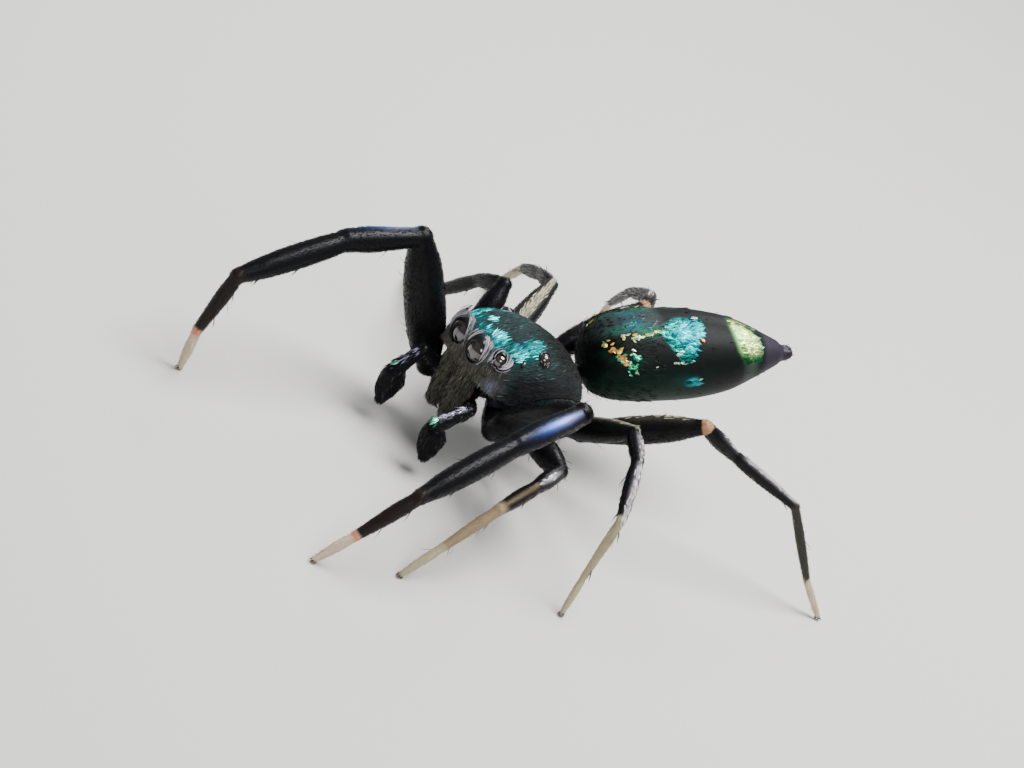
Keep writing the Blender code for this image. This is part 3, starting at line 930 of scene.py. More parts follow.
class Finish:
    """A material: a Principled shader and the nodes that feed it."""

    def __init__(self, name, **settings):
        self.material = bpy.data.materials.new(name)
        self.material.use_nodes = True
        self.nodes = self.material.node_tree.nodes
        self.links = self.material.node_tree.links
        self.shader = self.nodes["Principled BSDF"]
        for socket, value in settings.items():
            self.shader.inputs[socket.replace("_", " ")].default_value = value

    def node(self, kind, settings=None, inputs=(), output=0):
        made = self.nodes.new(kind)
        for setting, value in (settings or {}).items():
            setattr(made, setting, value)
        named = inputs.items() if isinstance(inputs, dict) else enumerate(inputs)
        for socket, value in named:
            self.feed(made.inputs[socket], value)
        return Value(self, made.outputs[output])

    def feed(self, socket, value):
        if isinstance(value, Value):
            self.links.new(value.socket, socket)
        else:
            socket.default_value = value

    def set(self, socket, value):
        self.feed(self.shader.inputs[socket], value)

    def tinted(self, colour, factor):
        """colour times factor, which is a number that changes over the surface."""
        return self.node("ShaderNodeVectorMath", {"operation": "SCALE"}, {"Vector": colour, "Scale": factor})

    def stored(self, name, output):
        return self.node("ShaderNodeAttribute", {"attribute_name": name}, (), output)

    def noise(self, scale, detail=3.0):
        place = self.node("ShaderNodeTexCoord", None, (), "Object")
        inputs = {"Vector": place, "Scale": scale, "Detail": detail}
        return self.node("ShaderNodeTexNoise", None, inputs, "Fac")

    def bump(self, height, strength, distance):
        inputs = {"Height": height, "Strength": strength, "Distance": distance}
        return self.node("ShaderNodeBump", None, inputs, "Normal")


GRAIN = 26000.0  # how many bumps of the skin's grain fit in a metre
MOTTLE = 4200.0
GRAIN_DEPTH = 0.00001


def skin_finish():
    """The skin's own finish: its stored colours, a little uneven, over a fine grain."""
    made = Finish("spider_skin", Specular_IOR_Level=0.10, Coat_Roughness=0.22)
    grain = made.noise(GRAIN)
    patch = made.noise(MOTTLE)
    made.set("Base Color", made.tinted(made.stored("Shade", "Color"), 0.7 + 0.6 * patch))
    made.set("Roughness", made.stored("Rough", "Fac") + (0.14 * grain - 0.07))
    made.set("Metallic", made.stored("Metal", "Fac"))
    made.set("Coat Weight", made.stored("Gloss", "Fac"))
    made.set("Normal", made.bump(grain, 0.35, GRAIN_DEPTH))
    return made.material


def coat_finish(name, metal, rough, level=0.5):
    """A finish for scales or hair, in their stored colours."""
    made = Finish(name, Metallic=metal, Roughness=rough, Specular_IOR_Level=level)
    made.set("Base Color", made.stored("Shade", "Color"))
    return made.material


def mesh_of(name, points, faces, material, smooth):
    """An object from arrays of points and of faces that all have as many corners."""
    mesh = bpy.data.meshes.new(name)
    faces = np.asarray(faces, np.int32)
    mesh.vertices.add(len(points))
    mesh.vertices.foreach_set("co", np.asarray(points, np.float32).ravel())
    mesh.loops.add(faces.size)
    mesh.loops.foreach_set("vertex_index", faces.ravel())
    mesh.polygons.add(len(faces))
    mesh.polygons.foreach_set("loop_start", np.arange(len(faces), dtype=np.int32) * faces.shape[1])
    mesh.update(calc_edges=True)
    mesh.validate()
    mesh.polygons.foreach_set("use_smooth", np.full(len(faces), smooth))
    mesh.materials.append(material)
    made = bpy.data.objects.new(name, mesh)
    bpy.context.scene.collection.objects.link(made)
    return made


def store(obj, name, kind, values):
    attribute = obj.data.attributes.new(name, kind, "POINT")
    field = "color" if kind == "FLOAT_COLOR" else "value"
    attribute.data.foreach_set(field, np.asarray(values, np.float32).ravel())


def store_shade(obj, shade):
    store(obj, "Shade", "FLOAT_COLOR", np.concatenate([shade, np.ones((len(shade), 1))], axis=1))


PATCH = 0.003  # the size of each hair's own patch on the unwrapped coat
FLOOR_GAP = 0.004  # no hair reaches lower than this
# The faces between two rings of three corners.
SECTION = ((0, 1, 3), (1, 4, 3), (1, 2, 4), (2, 5, 4), (2, 0, 5), (0, 3, 5))


def ribbons(name, paths, normals, widths, thick, spots, shade, material):
    """A piece of coat: slim closed solids with a ridge, each from its root along its path to a point.

    paths has each one's places and normals has its outward ways there, the last place being the tip.
    widths has its width at each place but the tip, and thick its thickness.
    """
    count, stops = paths.shape[:2]
    ways = unit(np.gradient(paths, axis=1))
    sides = unit(np.cross(normals, ways))
    thick = np.broadcast_to(thick, count)[:, None]
    rings = []
    for k in range(stops - 1):
        wide = widths[:, k, None] / 2
        middle = paths[:, k] - normals[:, k] * thick * 0.3
        rings.append(middle + sides[:, k] * wide)
        rings.append(middle - sides[:, k] * wide)
        rings.append(middle + normals[:, k] * thick)
    rings.append(paths[:, -1])
    size = len(rings)
    points = np.stack(rings, 1).reshape(-1, 3)
    points[:, 2] = np.maximum(points[:, 2], FLOOR_GAP)
    own = [(0, 2, 1)]
    for k in range(stops - 2):
        own += [tuple(3 * k + corner for corner in face) for face in SECTION]
    last = 3 * (stops - 2)
    own += [(last, last + 1, last + 3), (last + 1, last + 2, last + 3), (last + 2, last, last + 3)]
    faces = (np.array(own)[None] + size * np.arange(count)[:, None, None]).reshape(-1, 3)
    made = mesh_of(name, to_metres(points), faces, material, False)
    store_shade(made, np.repeat(shade, size, axis=0))
    across = [(-1, 1, 0)[k % 3] for k in range(size - 1)] + [0]
    ahead = [2 * (k // 3) / (stops - 1) - 1 for k in range(size - 1)] + [1]
    patch = np.stack([across, ahead], 1) * PATCH / 2
    spots = np.clip(spots, 0.01, 0.99)
    corners = (spots[:, None] + patch[None]).reshape(-1, 2)[faces.ravel()]
    layer = made.data.uv_layers.new(name="OFBake")
    layer.uv.foreach_set("vector", corners.astype(np.float32).ravel())
    return made


def vanes(name, roots, ways, normals, sizes, spots, shade, material, lift=0.15, root=0.45, bend=0.0):
    """A piece of coat whose parts each lie straight along the skin.

    sizes holds each one's length, width and thickness. lift is how far its tip stands off the skin, as
    a share of the length, root the root's share of the width, and bend turns the tip down again.
    """
    count = len(roots)
    length, width, thick = (np.broadcast_to(s, count) for s in sizes)
    lift = np.broadcast_to(lift, count)[:, None]
    ways = unit(ways - normals * np.sum(ways * normals, axis=1, keepdims=True))
    places = []
    for share in (0.0, 0.45, 1.0):
        rise = lift * (share - bend * share * share)
        places.append(roots + (ways * share + normals * rise) * length[:, None])
    widths = np.stack([width * root, width], 1)
    tilted = np.repeat(normals[:, None], 3, axis=1)
    return ribbons(name, np.stack(places, 1), tilted, widths, thick, spots, shade, material)


class Strewn:
    """Places on the skin that a coat's parts grow from, and the way that each one lies."""

    def __init__(self, points, normals, ways, spots):
        self.points, self.normals, self.ways, self.spots = points, normals, ways, spots

    def lay(self, name, rows, sizes, tint, material, *shape):
        """A piece of coat on some of the places. shape is its lift, root and bend."""
        own = (self.points[rows], self.ways[rows], self.normals[rows])
        return vanes(name, *own, sizes, self.spots[rows], tint, material, *shape)


class Surface:
    """The finished skin, which coats are laid on."""

    def __init__(self):
        self.clay, self.shapes = mould()
        points, self.faces = self.clay.surface()
        self.points = self.clay.settle(points)
        self.normals = self.clay.outward(self.points)
        self.owners = nearest_shape(self.points, self.shapes)
        corners = self.points[self.faces]
        cross = np.cross(corners[:, 2] - corners[:, 0], corners[:, 3] - corners[:, 1])
        self.areas = np.linalg.norm(cross, axis=1) / 2

    def piece(self):
        made = mesh_of("skin", to_metres(self.points), self.faces, skin_finish(), True)
        shade, metal, rough, gloss = paint(self.points, self.normals, self.owners, self.shapes)
        store_shade(made, shade)
        store(made, "Metal", "FLOAT", metal)
        store(made, "Rough", "FLOAT", rough)
        store(made, "Gloss", "FLOAT", gloss)
        return made

    def scatter(self, parts, spacing):
        """Evenly strewn places on the skin of the named parts: points, normals and shape numbers."""
        names = [s.part for s in self.shapes]
        wanted = np.isin(self.owners, [n for n, part in enumerate(names) if parts(part)])
        rows = np.flatnonzero(wanted[self.faces[:, 0]])
        total = self.areas[rows].sum()
        count = int(total / spacing**2 * 4)
        chosen = rows[rng.choice(len(rows), count, p=self.areas[rows] / total)]
        a, b, c, d = (self.points[self.faces[chosen, k]] for k in range(4))
        u, v = rng.random((2, count, 1))
        points = (a * (1 - u) + b * u) * (1 - v) + (d * (1 - u) + c * u) * v
        cells = np.floor(points / spacing).astype(np.int64)
        _, first = np.unique(cells @ np.array([1, 100003, 10000600009]), return_index=True)
        points = points[np.sort(first)]
        normals = self.clay.outward(points)
        owners = nearest_shape(points, self.shapes)
        inside = np.array([parts(names[n]) for n in owners])
        return points[inside], normals[inside], owners[inside]


def turned(ways, normals, spread_angle):
    """Each way turned about its normal by a random angle."""
    ways = unit(ways - normals * np.sum(ways * normals, axis=1, keepdims=True))
    angle = rng.normal(0, spread_angle, len(ways))[:, None]
    return ways * np.cos(angle) + np.cross(normals, ways) * np.sin(angle)


def varied(count, middle, share):
    return middle * rng.uniform(1 - share, 1 + share, count)


def jitter(shade, share):
    """The same colours, each a little lighter or darker."""
    return np.clip(shade * rng.uniform(1 - share, 1 + share, (len(shade), 1)), 0, 1)


def pick(choices, count):
    """A random one of the given colours for each of count scales."""
    return np.array(choices)[rng.integers(0, len(choices), count)]


# How far apart the places are that each coat grows from.
SPACING = {"abdomen": 0.034, "head": 0.032, "leg": 0.046, "palp": 0.034, "bristles": 0.080}


def tail_spots(along, angle):
    """Where places on the abdomen lie on its unwrapped skin."""
    return np.stack([angle / (2 * pi) + 0.5, along / 4.0], 1)


# Single glinting scales: along, angle and colour.
LONE_GLINTS = (
    (2.05, 37, RUBY), (2.03, 34, AMBER), (2.03, 88, IVORY), (1.50, 64, IVORY), (1.57, 64, MINT),
    (1.63, 64, IVORY), (1.17, 69, IVORY),
)
GLINT_RISE = 0.020  # how far the glinting scales stand above the other scales' roots


def glint_rows(tail, finish):
    """The broad scales that glint in two rows and between them on each side of the abdomen."""
    lower_front, lower_rear = LOWER_ROW[:5], LOWER_ROW[3:]
    kinds = (
        (UPPER_ROW, 30, 0.030, 2.2, (GOLD, PALE_GREEN, IVORY, SEA_GREEN, MINT)),
        (lower_front, 32, 0.028, 2.6, (AMBER, GOLD, PALE_GREEN, PALE_GREEN, SEA_GREEN)),
        (lower_rear, 20, 0.034, 3.2, (SEA_GREEN, MINT, MINT, IVORY, GREEN)),
        (MIDDLE_ROW, 13, 0.050, 4.0, (MINT, SEA_GREEN, IVORY, GREEN)),
    )
    along, angle, shade = [], [], []
    for sign in (1, -1):
        # The right side gets no upper row: its top is left dark, painted shade.
        for row, count, loose, loose_angle, colours in kinds if sign > 0 else kinds[1:]:
            curve = spread(row, 60)
            clump = rng.uniform(0, 1, max(4, count // 4))
            at = np.clip(clump[rng.integers(0, len(clump), count)] + rng.normal(0, 0.022, count), 0, 1)
            place = curve[(at * 59).astype(int)]
            along.append(place[:, 0] + rng.normal(0, loose, count))
            angle.append(sign * np.radians(place[:, 1] + rng.normal(0, loose_angle, count)))
            shade.append(pick(colours, count))
        for place, turn, colour in LONE_GLINTS:
            along.append(np.array([place]))
            angle.append(np.array([sign * radians(turn)]))
            shade.append(np.array([colour]))
    along, angle, shade = np.concatenate(along), np.concatenate(angle), np.concatenate(shade)
    count = len(along)
    radius = np.interp(along, tail.outline[:, 0], tail.outline[:, 1])
    out = ABDOMEN_UP * np.cos(angle)[:, None] + ABDOMEN_LEFT * np.sin(angle)[:, None]
    slope = np.interp(along + 0.02, tail.outline[:, 0], tail.outline[:, 1]) - radius
    points = ABDOMEN_FRONT + ABDOMEN_AXIS * along[:, None] + out * (radius + GLINT_RISE)[:, None]
    normals = unit(out - ABDOMEN_AXIS * (slope / 0.02)[:, None])
    normals = unit(normals + rng.normal(0, 0.08, normals.shape))
    ways = turned(plain(ABDOMEN_AXIS, count), normals, 0.45)
    sizes = (varied(count, 0.078, 0.4), varied(count, 0.050, 0.35), 0.010)
    coat = Strewn(points, normals, ways, tail_spots(along, angle))
    return coat.lay("abdomen_glints", slice(None), sizes, jitter(shade, 0.25), finish, 0.10, 0.6)


def abdomen_coat(surface, bright_finish, dark_finish, glint_finish):
    """Flat scales in the abdomen's metallic bands, sparse dark ones in front of them, and the glints."""
    tail = next(s for s in surface.shapes if s.part == "abdomen")
    points, normals, _ = surface.scatter(lambda p: p == "abdomen", SPACING["abdomen"])
    along, angle, _ = tail.place(points)
    shade, _, _, bright, sky_sheen = abdomen_paint(along, angle)
    chance, kinds = rng.random((2, len(points)))
    patchy = blotches(points, 0.16, 3)
    shiny = (bright + 0.9 * (patchy - 0.5) > 0.15 + 0.65 * chance) & (bright > 0.06)
    glow = 0.30 + 0.80 * patchy * blotches(points, 0.05, 5)
    glow = np.where(along > 2.5, 1.0, glow)
    shade = swap(shiny, shade * glow[:, None], shade)
    edge = (bright > 0.1) & (bright < 0.8)
    # Pale scales, most along the band's edges, are painted sparkles.
    pale = shiny & (along < 2.5) & (kinds < np.where(edge, 0.10, 0.015))
    shade = swap(pale, 0.35 * shade + np.array(SPARKLE), shade)
    golden = shiny & (along > 2.6) & (np.degrees(np.abs(angle)) < 16) & (kinds > 0.5)
    shade = swap(golden, OLIVE_GOLD, shade)
    teal = ~shiny & (chance < 0.09 * sky_sheen)
    quiet = ~shiny & ~teal & (chance > 0.80) & (along < 1.3)
    ways = turned(plain(ABDOMEN_AXIS, len(points)), normals, 0.20)
    tilted = unit(normals + rng.normal(0, 0.06, normals.shape))
    coat = Strewn(points, tilted, ways, tail_spots(along, angle))
    pieces = []
    for name, rows, (length, width, thick), finish in (
        ("abdomen_bright_scales", shiny | teal, (0.12, 0.086, 0.008), bright_finish),
        ("abdomen_dark_scales", quiet, (0.10, 0.018, 0.006), dark_finish),
    ):
        rows = np.flatnonzero(rows)
        count = len(rows)
        small = np.where(teal[rows], 0.6, 1.0)
        sizes = (varied(count, length, 0.3) * small, varied(count, width, 0.25) * small, thick)
        pieces.append(coat.lay(name, rows, sizes, jitter(shade[rows], 0.15), finish, 0.05, 0.8))
    return pieces + [glint_rows(tail, glint_finish)]


def head_ways(points):
    """The lie of the head's coat: backwards, and inwards from both sides."""
    _, left, _ = in_body(points)
    back = body_way(-1, 0, 0)
    inward = body_way(0, -1, 0)
    return back[None] + inward[None] * (0.60 * np.clip(left, -0.8, 0.8))[:, None]


def head_coat(surface, bright_finish, hair_finish):
    """Streaks of turquoise scales on top of the head, and short hair on the rest of it and the jaws."""
    points, normals, owners = surface.scatter(lambda p: p in ("carapace", "chelicera"), SPACING["head"])
    shade, _, _, turquoise, face, rimmed, blue = head_paint(points, normals)
    forward, left, up = in_body(points)
    jaw = np.array([surface.shapes[n].part == "chelicera" for n in owners])
    shade = swap(jaw, FACE_GREY, shade)
    face = np.maximum(face, jaw)
    turquoise, blue = turquoise * ~jaw, blue * ~jaw
    free = rimmed < 0.5
    chance, kinds = rng.random((2, len(points)))
    ways = turned(head_ways(points), normals, 0.16)
    coat = Strewn(points, normals, ways, np.stack([left / 2.2 + 0.5, forward / 3 + 0.5], 1))
    patchy = blotches(points, 0.20, 8)
    shiny = free & (turquoise * (0.35 + 0.9 * patchy) > 0.25 + 0.5 * chance)
    colour = plain(TURQUOISE, len(points))
    colour = swap(kinds < 0.25, CYAN, colour)
    colour = swap(kinds > 0.75, SEA_GREEN, colour)
    colour = colour * (0.60 + 0.9 * patchy)[:, None]
    colour = swap(kinds > 0.93, PALE_TURQUOISE, colour)
    rows = np.flatnonzero(shiny)
    sizes = (varied(len(rows), 0.17, 0.25), varied(len(rows), 0.026, 0.25), 0.009)
    tint = jitter(colour[rows], 0.5)
    pieces = [coat.lay("head_turquoise_scales", rows, sizes, tint, bright_finish, 0.16, 0.5)]
    rows = np.flatnonzero(free & ~shiny)
    forward, up, face, blue, chance, kinds = (v[rows] for v in (forward, up, face, blue, chance, kinds))
    pale = (chance < 0.45 * face) | (chance < 0.35 * blue)
    tint = swap(pale, FACE_HAIR, np.maximum(shade[rows], 0.008) * 1.35)
    tint = swap(chance < 0.30 * blue, STEEL_BLUE, tint)
    near_rear = hump(0.15, 0.5, forward) * ease(-0.35, 0.0, up)
    strokes = (kinds > 1 - 0.10 * near_rear) & (face < 0.4)
    tint = swap(strokes, DIM_TEAL, tint)
    sizes = (varied(len(rows), 0.105, 0.3), np.where(strokes, 0.015, 0.011), 0.007)
    down = body_way(0.1, 0, -1)[None] + rng.normal(0, 0.25, (len(rows), 3))
    ways[rows] = swap(face > 0.5, down, ways[rows])
    pieces.append(coat.lay("head_short_hairs", rows, sizes, jitter(tint, 0.4), hair_finish, 0.20, 0.8))
    return pieces


# For each front eye: how many strands, how far they reach round it and how far in over the lens.
FRINGES = {"front_middle": (46, 0.36, 0.12), "front_side": (24, 0.24, 0.48)}
STRAND_STOPS = 6
STRAND_THICK = 0.008
STRAND_TAPER = (0.7, 1.0, 1.0, 0.9, 0.6)  # of the width, from the root towards the tip


def eye_fringes(hair_finish):
    """Pale strap-like hairs that rise behind the front eyes and curve down over their rims."""
    paths, normals, widths, spots = [], [], [], []
    upright = body_way(0, 0, 1)
    for name, _, sign, centre, radius, rim, facing in eye_places():
        count, reach, over_lens = FRINGES.get(name, (0, 0, 0))
        over = unit(upright - facing * (upright @ facing))
        beside = np.cross(facing, over)
        for k in range(count):
            way = 1 if k % 2 else -1
            turn = radians(rng.uniform(0, 100)) * way
            swing = way * reach * rng.uniform(0.7, 1.2) / radius * 0.8
            ring = radius + rim * rng.uniform(0.6, 1.9)
            rise = rng.uniform(0.10, 0.40)
            places, outward = [], []
            for share in np.linspace(0, 1, STRAND_STOPS):
                at = turn + swing * share
                spoke = over * cos(at) + beside * sin(at)
                far = ring * (1 + 0.30 * (1 - share) ** 2 - over_lens * share * share)
                ahead = radius * (rise + (0.32 + 0.9 * over_lens) * share - 0.35 * (1 - share) ** 2)
                places.append(centre + spoke * far + facing * ahead)
                outward.append(unit(spoke + facing * 0.7))
            paths.append(places)
            normals.append(outward)
            width = rng.uniform(0.010, 0.020)
            widths.append([width * w for w in STRAND_TAPER])
            spots.append((0.5 + sign * 0.2 + 0.1 * cos(turn), 0.8 + 0.1 * sin(turn)))
    tint = jitter(plain(STRAND_GREY, len(paths)), 0.70)
    rows = (np.array(paths), np.array(normals), np.array(widths))
    return ribbons("eye_fringes", *rows, STRAND_THICK, np.array(spots), tint, hair_finish)


def limb_places(surface, rows_owner, points):
    """Along, angle, leg number, segment number and lie of the coat, for places on the legs."""
    count = len(points)
    t, angle = np.zeros(count), np.zeros(count)
    pair, segment = np.zeros(count, int), np.zeros(count, int)
    ways = np.zeros((count, 3))
    for n in np.unique(rows_owner):
        shape = surface.shapes[n]
        rows = np.flatnonzero(rows_owner == n)
        t[rows], angle[rows] = shape.place(points[rows])
        ways[rows] = shape.along
        _, number, name = shape.part.split("_")
        pair[rows], segment[rows] = int(number), SEGMENTS.index(name)
    return t, angle, pair, segment, ways


def leg_coat(surface, side, hair_finish, bright_finish):
    """Short velvet all over one side's legs, pale scales in the stripes, a few longer bristles and a painted
    highlight.
    """
    points, normals, owners = surface.scatter(lambda p: p.startswith(side), SPACING["leg"])
    t, angle, pair, segment, ways = limb_places(surface, owners, points)
    shade = paint(points, normals, owners, surface.shapes)[0]
    count = len(points)
    chance, kinds = rng.random((2, count))
    stripe, gleam = np.zeros(count), np.zeros(count)
    for p, s in product((1, 2, 3, 4), range(6)):
        rows = np.flatnonzero((pair == p) & (segment == s))
        if len(rows):
            stripe[rows] = stripe_of(p, s, t[rows], angle[rows])
            gleam[rows] = gleam_of(p, s, t[rows], angle[rows])
    ways = turned(ways, normals, 0.16)
    strip = (pair - 1 + 0.5 + 0.4 * angle / pi) / 4
    coat = Strewn(points, normals, ways, np.stack([strip, (segment + t) / 6], 1))
    # Silver scales on the second patellas and bare skin on the first carry the painted highlight.
    gleaming = (chance < 1.3 * gleam - 0.15) & (pair == 2)
    bare = (pair == 1) & (gleam > 0.25)
    pale = (chance < 1.2 * stripe - 0.1) & ~gleaming
    long = (kinds > 0.994) & (segment > 0)
    tint = swap(pale, WHITE_HAIR, np.minimum(shade * 1.1, 0.5))
    tint = swap(pale & (segment == 1), PALE_HAIR, tint)
    length = np.where(segment > 3, 0.045, 0.055) * rng.uniform(0.7, 1.3, count)
    length = np.where(pale, rng.uniform(0.09, 0.15, count), length)
    length = np.where(long, rng.uniform(0.13, 0.20, count), length)
    width = np.where(long, 0.014, np.where(pale, 0.022, 0.009))
    lift = np.where(pale, 0.12, rng.uniform(0.2, 0.45, count))
    lift = np.where(long, 0.8, lift)
    rows = np.flatnonzero(~gleaming & ~bare)
    sizes = (length[rows], width[rows], width[rows] * 0.6)
    tint = jitter(tint[rows], 0.3)
    pieces = [coat.lay(f"leg_hairs_{side}", rows, sizes, tint, hair_finish, lift[rows], 0.9, 0.15)]
    rows = np.flatnonzero(gleaming)
    sizes = (varied(len(rows), 0.13, 0.25), varied(len(rows), 0.050, 0.2), 0.007)
    tint = jitter(plain(HIGHLIGHT_SILVER, len(rows)), 0.06)
    pieces.append(coat.lay(f"leg_painted_highlight_scales_{side}", rows, sizes, tint, bright_finish, 0.02, 0.8))
    return pieces


def palp_coat(surface, side, hair_finish, bright_finish):
    """Dark hair on one palp, and a streak of lilac and mint scales along its top."""
    points, normals, _ = surface.scatter(lambda p: p == f"palp_{side}", SPACING["palp"])
    base, knee, wrist, tip = (body(*p) for p in PALPS[side])
    club, arm = unit(tip - wrist), unit(wrist - knee)
    count = len(points)
    share = (points - wrist) @ club / np.linalg.norm(tip - wrist)
    reach = (points - knee) @ arm / np.linalg.norm(wrist - knee)
    outer = normals @ unit(body_way(0, 0, 1) + body_way(1, 0, 0) * 0.5)
    on_club = (share > 0.05) & (reach > 0.6)
    ways = swap(on_club, club[None], arm[None])
    ways = swap(reach < -0.1, unit(knee - base)[None], ways)
    ways = turned(np.broadcast_to(ways, (count, 3)), normals, 0.2)
    coat = Strewn(points, normals, ways, np.stack([0.5 + 0.4 * outer, np.clip(0.5 + 0.4 * share, 0, 1)], 1))
    chance = rng.random(count)
    streak = ease(0.80, 0.92, outer) * (reach > 0.05) * (share < 0.25)
    chosen = chance < 0.80 * streak
    rows = np.flatnonzero(chosen)
    sizes = (varied(len(rows), 0.12, 0.2), 0.030, 0.008)
    tint = blend_to(plain(PALP_LILAC, len(rows)), PALP_MINT, ease(0.75, 1.05, reach[rows]))
    pieces = [coat.lay(f"palp_scales_{side}", rows, sizes, jitter(tint, 0.4), bright_finish, 0.14, 0.5)]
    rows = np.flatnonzero(~chosen)
    tint = np.tile(np.array(BLACK) * 1.6, (len(rows), 1))
    # A few grey hairs among the dark ones: painted glints on the palp.
    tint = swap(chance[rows] > 0.97, GREY_HAIR, tint)
    sizes = (varied(len(rows), 0.075, 0.35), 0.010, 0.007)
    lifts = rng.uniform(0.15, 0.45, len(rows))
    tint = jitter(tint, 0.3)
    pieces.append(coat.lay(f"palp_hairs_{side}", rows, sizes, tint, hair_finish, lifts, 0.9, 0.2))
    return pieces


def body_bristles(surface, hair_finish):
    """Longer dark bristles on the abdomen's front, the thorax, the jaws and under the body."""
    wanted = ("abdomen", "carapace", "chelicera", "spinneret", "sternum", "mouth", "pedicel")
    points, normals, owners = surface.scatter(lambda p: p in wanted, SPACING["bristles"])
    names = np.array([surface.shapes[n].part for n in owners])
    _, left, _ = in_body(points)
    chance = rng.random(len(points))
    along = (points - ABDOMEN_FRONT) @ ABDOMEN_AXIS
    on_tail, on_head = names == "abdomen", names == "carapace"
    brow = on_tail & (along < 0.45)
    share = np.where(on_tail, 0.03, np.where(on_head, 0.16, 0.4))
    share = np.where(brow, 0.35, share)
    keep = (chance < share) | (names == "chelicera")
    keep = keep & (~on_head | (head_paint(points, normals)[5] < 0.4))
    rows = np.flatnonzero(keep)
    points, normals, names = points[rows], normals[rows], names[rows]
    on_tail, brow, left, along = on_tail[rows], brow[rows], left[rows], along[rows]
    count = len(rows)
    ways = swap(on_tail, ABDOMEN_AXIS[None], body_way(-1, 0, 0.1)[None])
    jaws = np.isin(names, ("chelicera", "mouth"))
    ways = swap(jaws, body_way(0.25, 0, -1)[None], ways)
    ways = swap(names == "spinneret", ABDOMEN_AXIS[None], ways)
    ways = turned(ways, normals, 0.25)
    length = np.where(brow, 0.13, 0.11) * rng.uniform(0.6, 1.25, count)
    length = np.where(names == "spinneret", 0.06, length)
    lifts = np.where(brow, 0.9, 0.55) * rng.uniform(0.6, 1.2, count)
    spots = np.stack([np.clip(left / 2.2 + 0.5, 0, 1), np.clip(0.75 - along / 8, 0, 1)], 1)
    sizes = (length, 0.010, 0.008)
    tint = jitter(np.tile(np.array(BLACK) * 1.4, (count, 1)), 0.3)
    return vanes("body_bristles", points, ways, normals, sizes, spots, tint, hair_finish, lifts, 0.9, 0.25)


# Spines, by leg and segment: where along it each stands and its angle from the top towards the front.
SPINES = {
    (1, 3): ((0.25, -150), (0.45, 150), (0.65, -150), (0.82, 150)),
    (1, 4): ((0.20, -145), (0.25, 145), (0.65, -145), (0.70, 145)),
    (2, 3): ((0.35, -140), (0.70, 140)),
    (2, 4): ((0.20, -145), (0.70, 145)),
    (3, 3): ((0.30, 100), (0.60, -120), (0.85, 140)),
    (3, 4): ((0.15, 120), (0.85, -120), (0.88, 100)),
    (4, 3): ((0.30, 110), (0.62, -120), (0.85, 140)),
    (4, 4): ((0.12, 120), (0.55, -110), (0.90, 110)),
}


def leg_spines(surface, finish):
    """The stout spines that stand off the lower legs."""
    roots, ways, normals, spots = [], [], [], []
    for shape in surface.shapes:
        words = shape.part.split("_")
        if len(words) != 3:
            continue
        pair, segment = int(words[1]), SEGMENTS.index(words[2])
        for t, around in SPINES.get((pair, segment), ()):
            out = shape.up * cos(radians(around)) + shape.side * sin(radians(around))
            radius = np.interp(t, np.linspace(0, 1, STATIONS), shape.radii)
            roots.append(shape.start + shape.along * shape.length * t + out * (radius - 0.01))
            ways.append(shape.along)
            normals.append(out)
            spots.append((pair / 5, (segment + t) / 6))
    coat = Strewn(*(np.array(rows) for rows in (roots, normals, ways, spots)))
    sizes = (varied(len(roots), 0.21, 0.12), 0.026, 0.018)
    return coat.lay("leg_spines", slice(None), sizes, plain(SOOT, len(roots)), finish, 0.55, 1.0, 0.2)


HOOK_TURN = 1.35  # how far a claw bends round, in radians


def hook(root, forward, down, length, radius, count=7, sides=8):
    """Points and faces of one curved claw."""
    points, faces = [], []
    beside = unit(np.cross(forward, down))
    for k in range(count):
        share = k / (count - 1)
        turn = share * HOOK_TURN
        centre = root + forward * length * sin(turn) + down * length * 0.8 * (1 - cos(turn))
        way = unit(forward * cos(turn) + down * sin(turn))
        out = np.cross(beside, way)
        thick = radius * (1 - share) ** 0.8 + 0.001
        for s in range(sides):
            a = 2 * pi * s / sides
            points.append(centre + (beside * cos(a) + out * sin(a)) * thick)
    for k, s in product(range(count - 1), range(sides)):
        n = (s + 1) % sides
        faces.append((k * sides + s, k * sides + n, (k + 1) * sides + n, (k + 1) * sides + s))
    for ring, flip in ((0, True), (count - 1, False)):
        corners = [ring * sides + s for s in range(sides)]
        for a in range(0, sides - 2, 2):
            face = (corners[0], corners[a + 1], corners[a + 2], corners[(a + 3) % sides])
            faces.append(face[::-1] if flip else face)
    return points, faces


def claws_and_fangs(finish):
    """Two claws on each foot and a fang on each jaw."""
    pieces = []
    for name, hooks in (("claws", claw_places()), ("fangs", fang_places())):
        points, faces = [], []
        for claw in hooks:
            new_points, new_faces = hook(*claw)
            faces += [tuple(len(points) + i for i in face) for face in new_faces]
            points += new_points
        pieces.append(mesh_of(name, to_metres(np.array(points)), faces, finish, True))
    return pieces


def claw_places():
    """Each claw's root, the ways it starts off and bends to, its length and its radius."""
    down = -UPWARD
    for _, toe, way in feet():
        level = np.array([way[0], way[1], 0.0])
        if np.linalg.norm(level) < 0.3:
            level = np.array([0.0, -1.0, 0.0])
        level = unit(level)
        beside = np.cross([0, 0, 1], level)
        for sign in (1, -1):
            root = toe + 0.010 * down + beside * sign * 0.022 + level * 0.030
            yield root, unit(level + beside * sign * 0.15), down, 0.058, 0.012


def fang_places():
    """The same for the fangs."""
    for sign in (1, -1):
        root = mirrored((1.20, 0.21, -1.42), sign)
        yield root, body_way(0.1, -sign * 0.55, -1), body_way(-1, -sign * 0.6, 0), 0.16, 0.042


PAD_HAIRS = 70


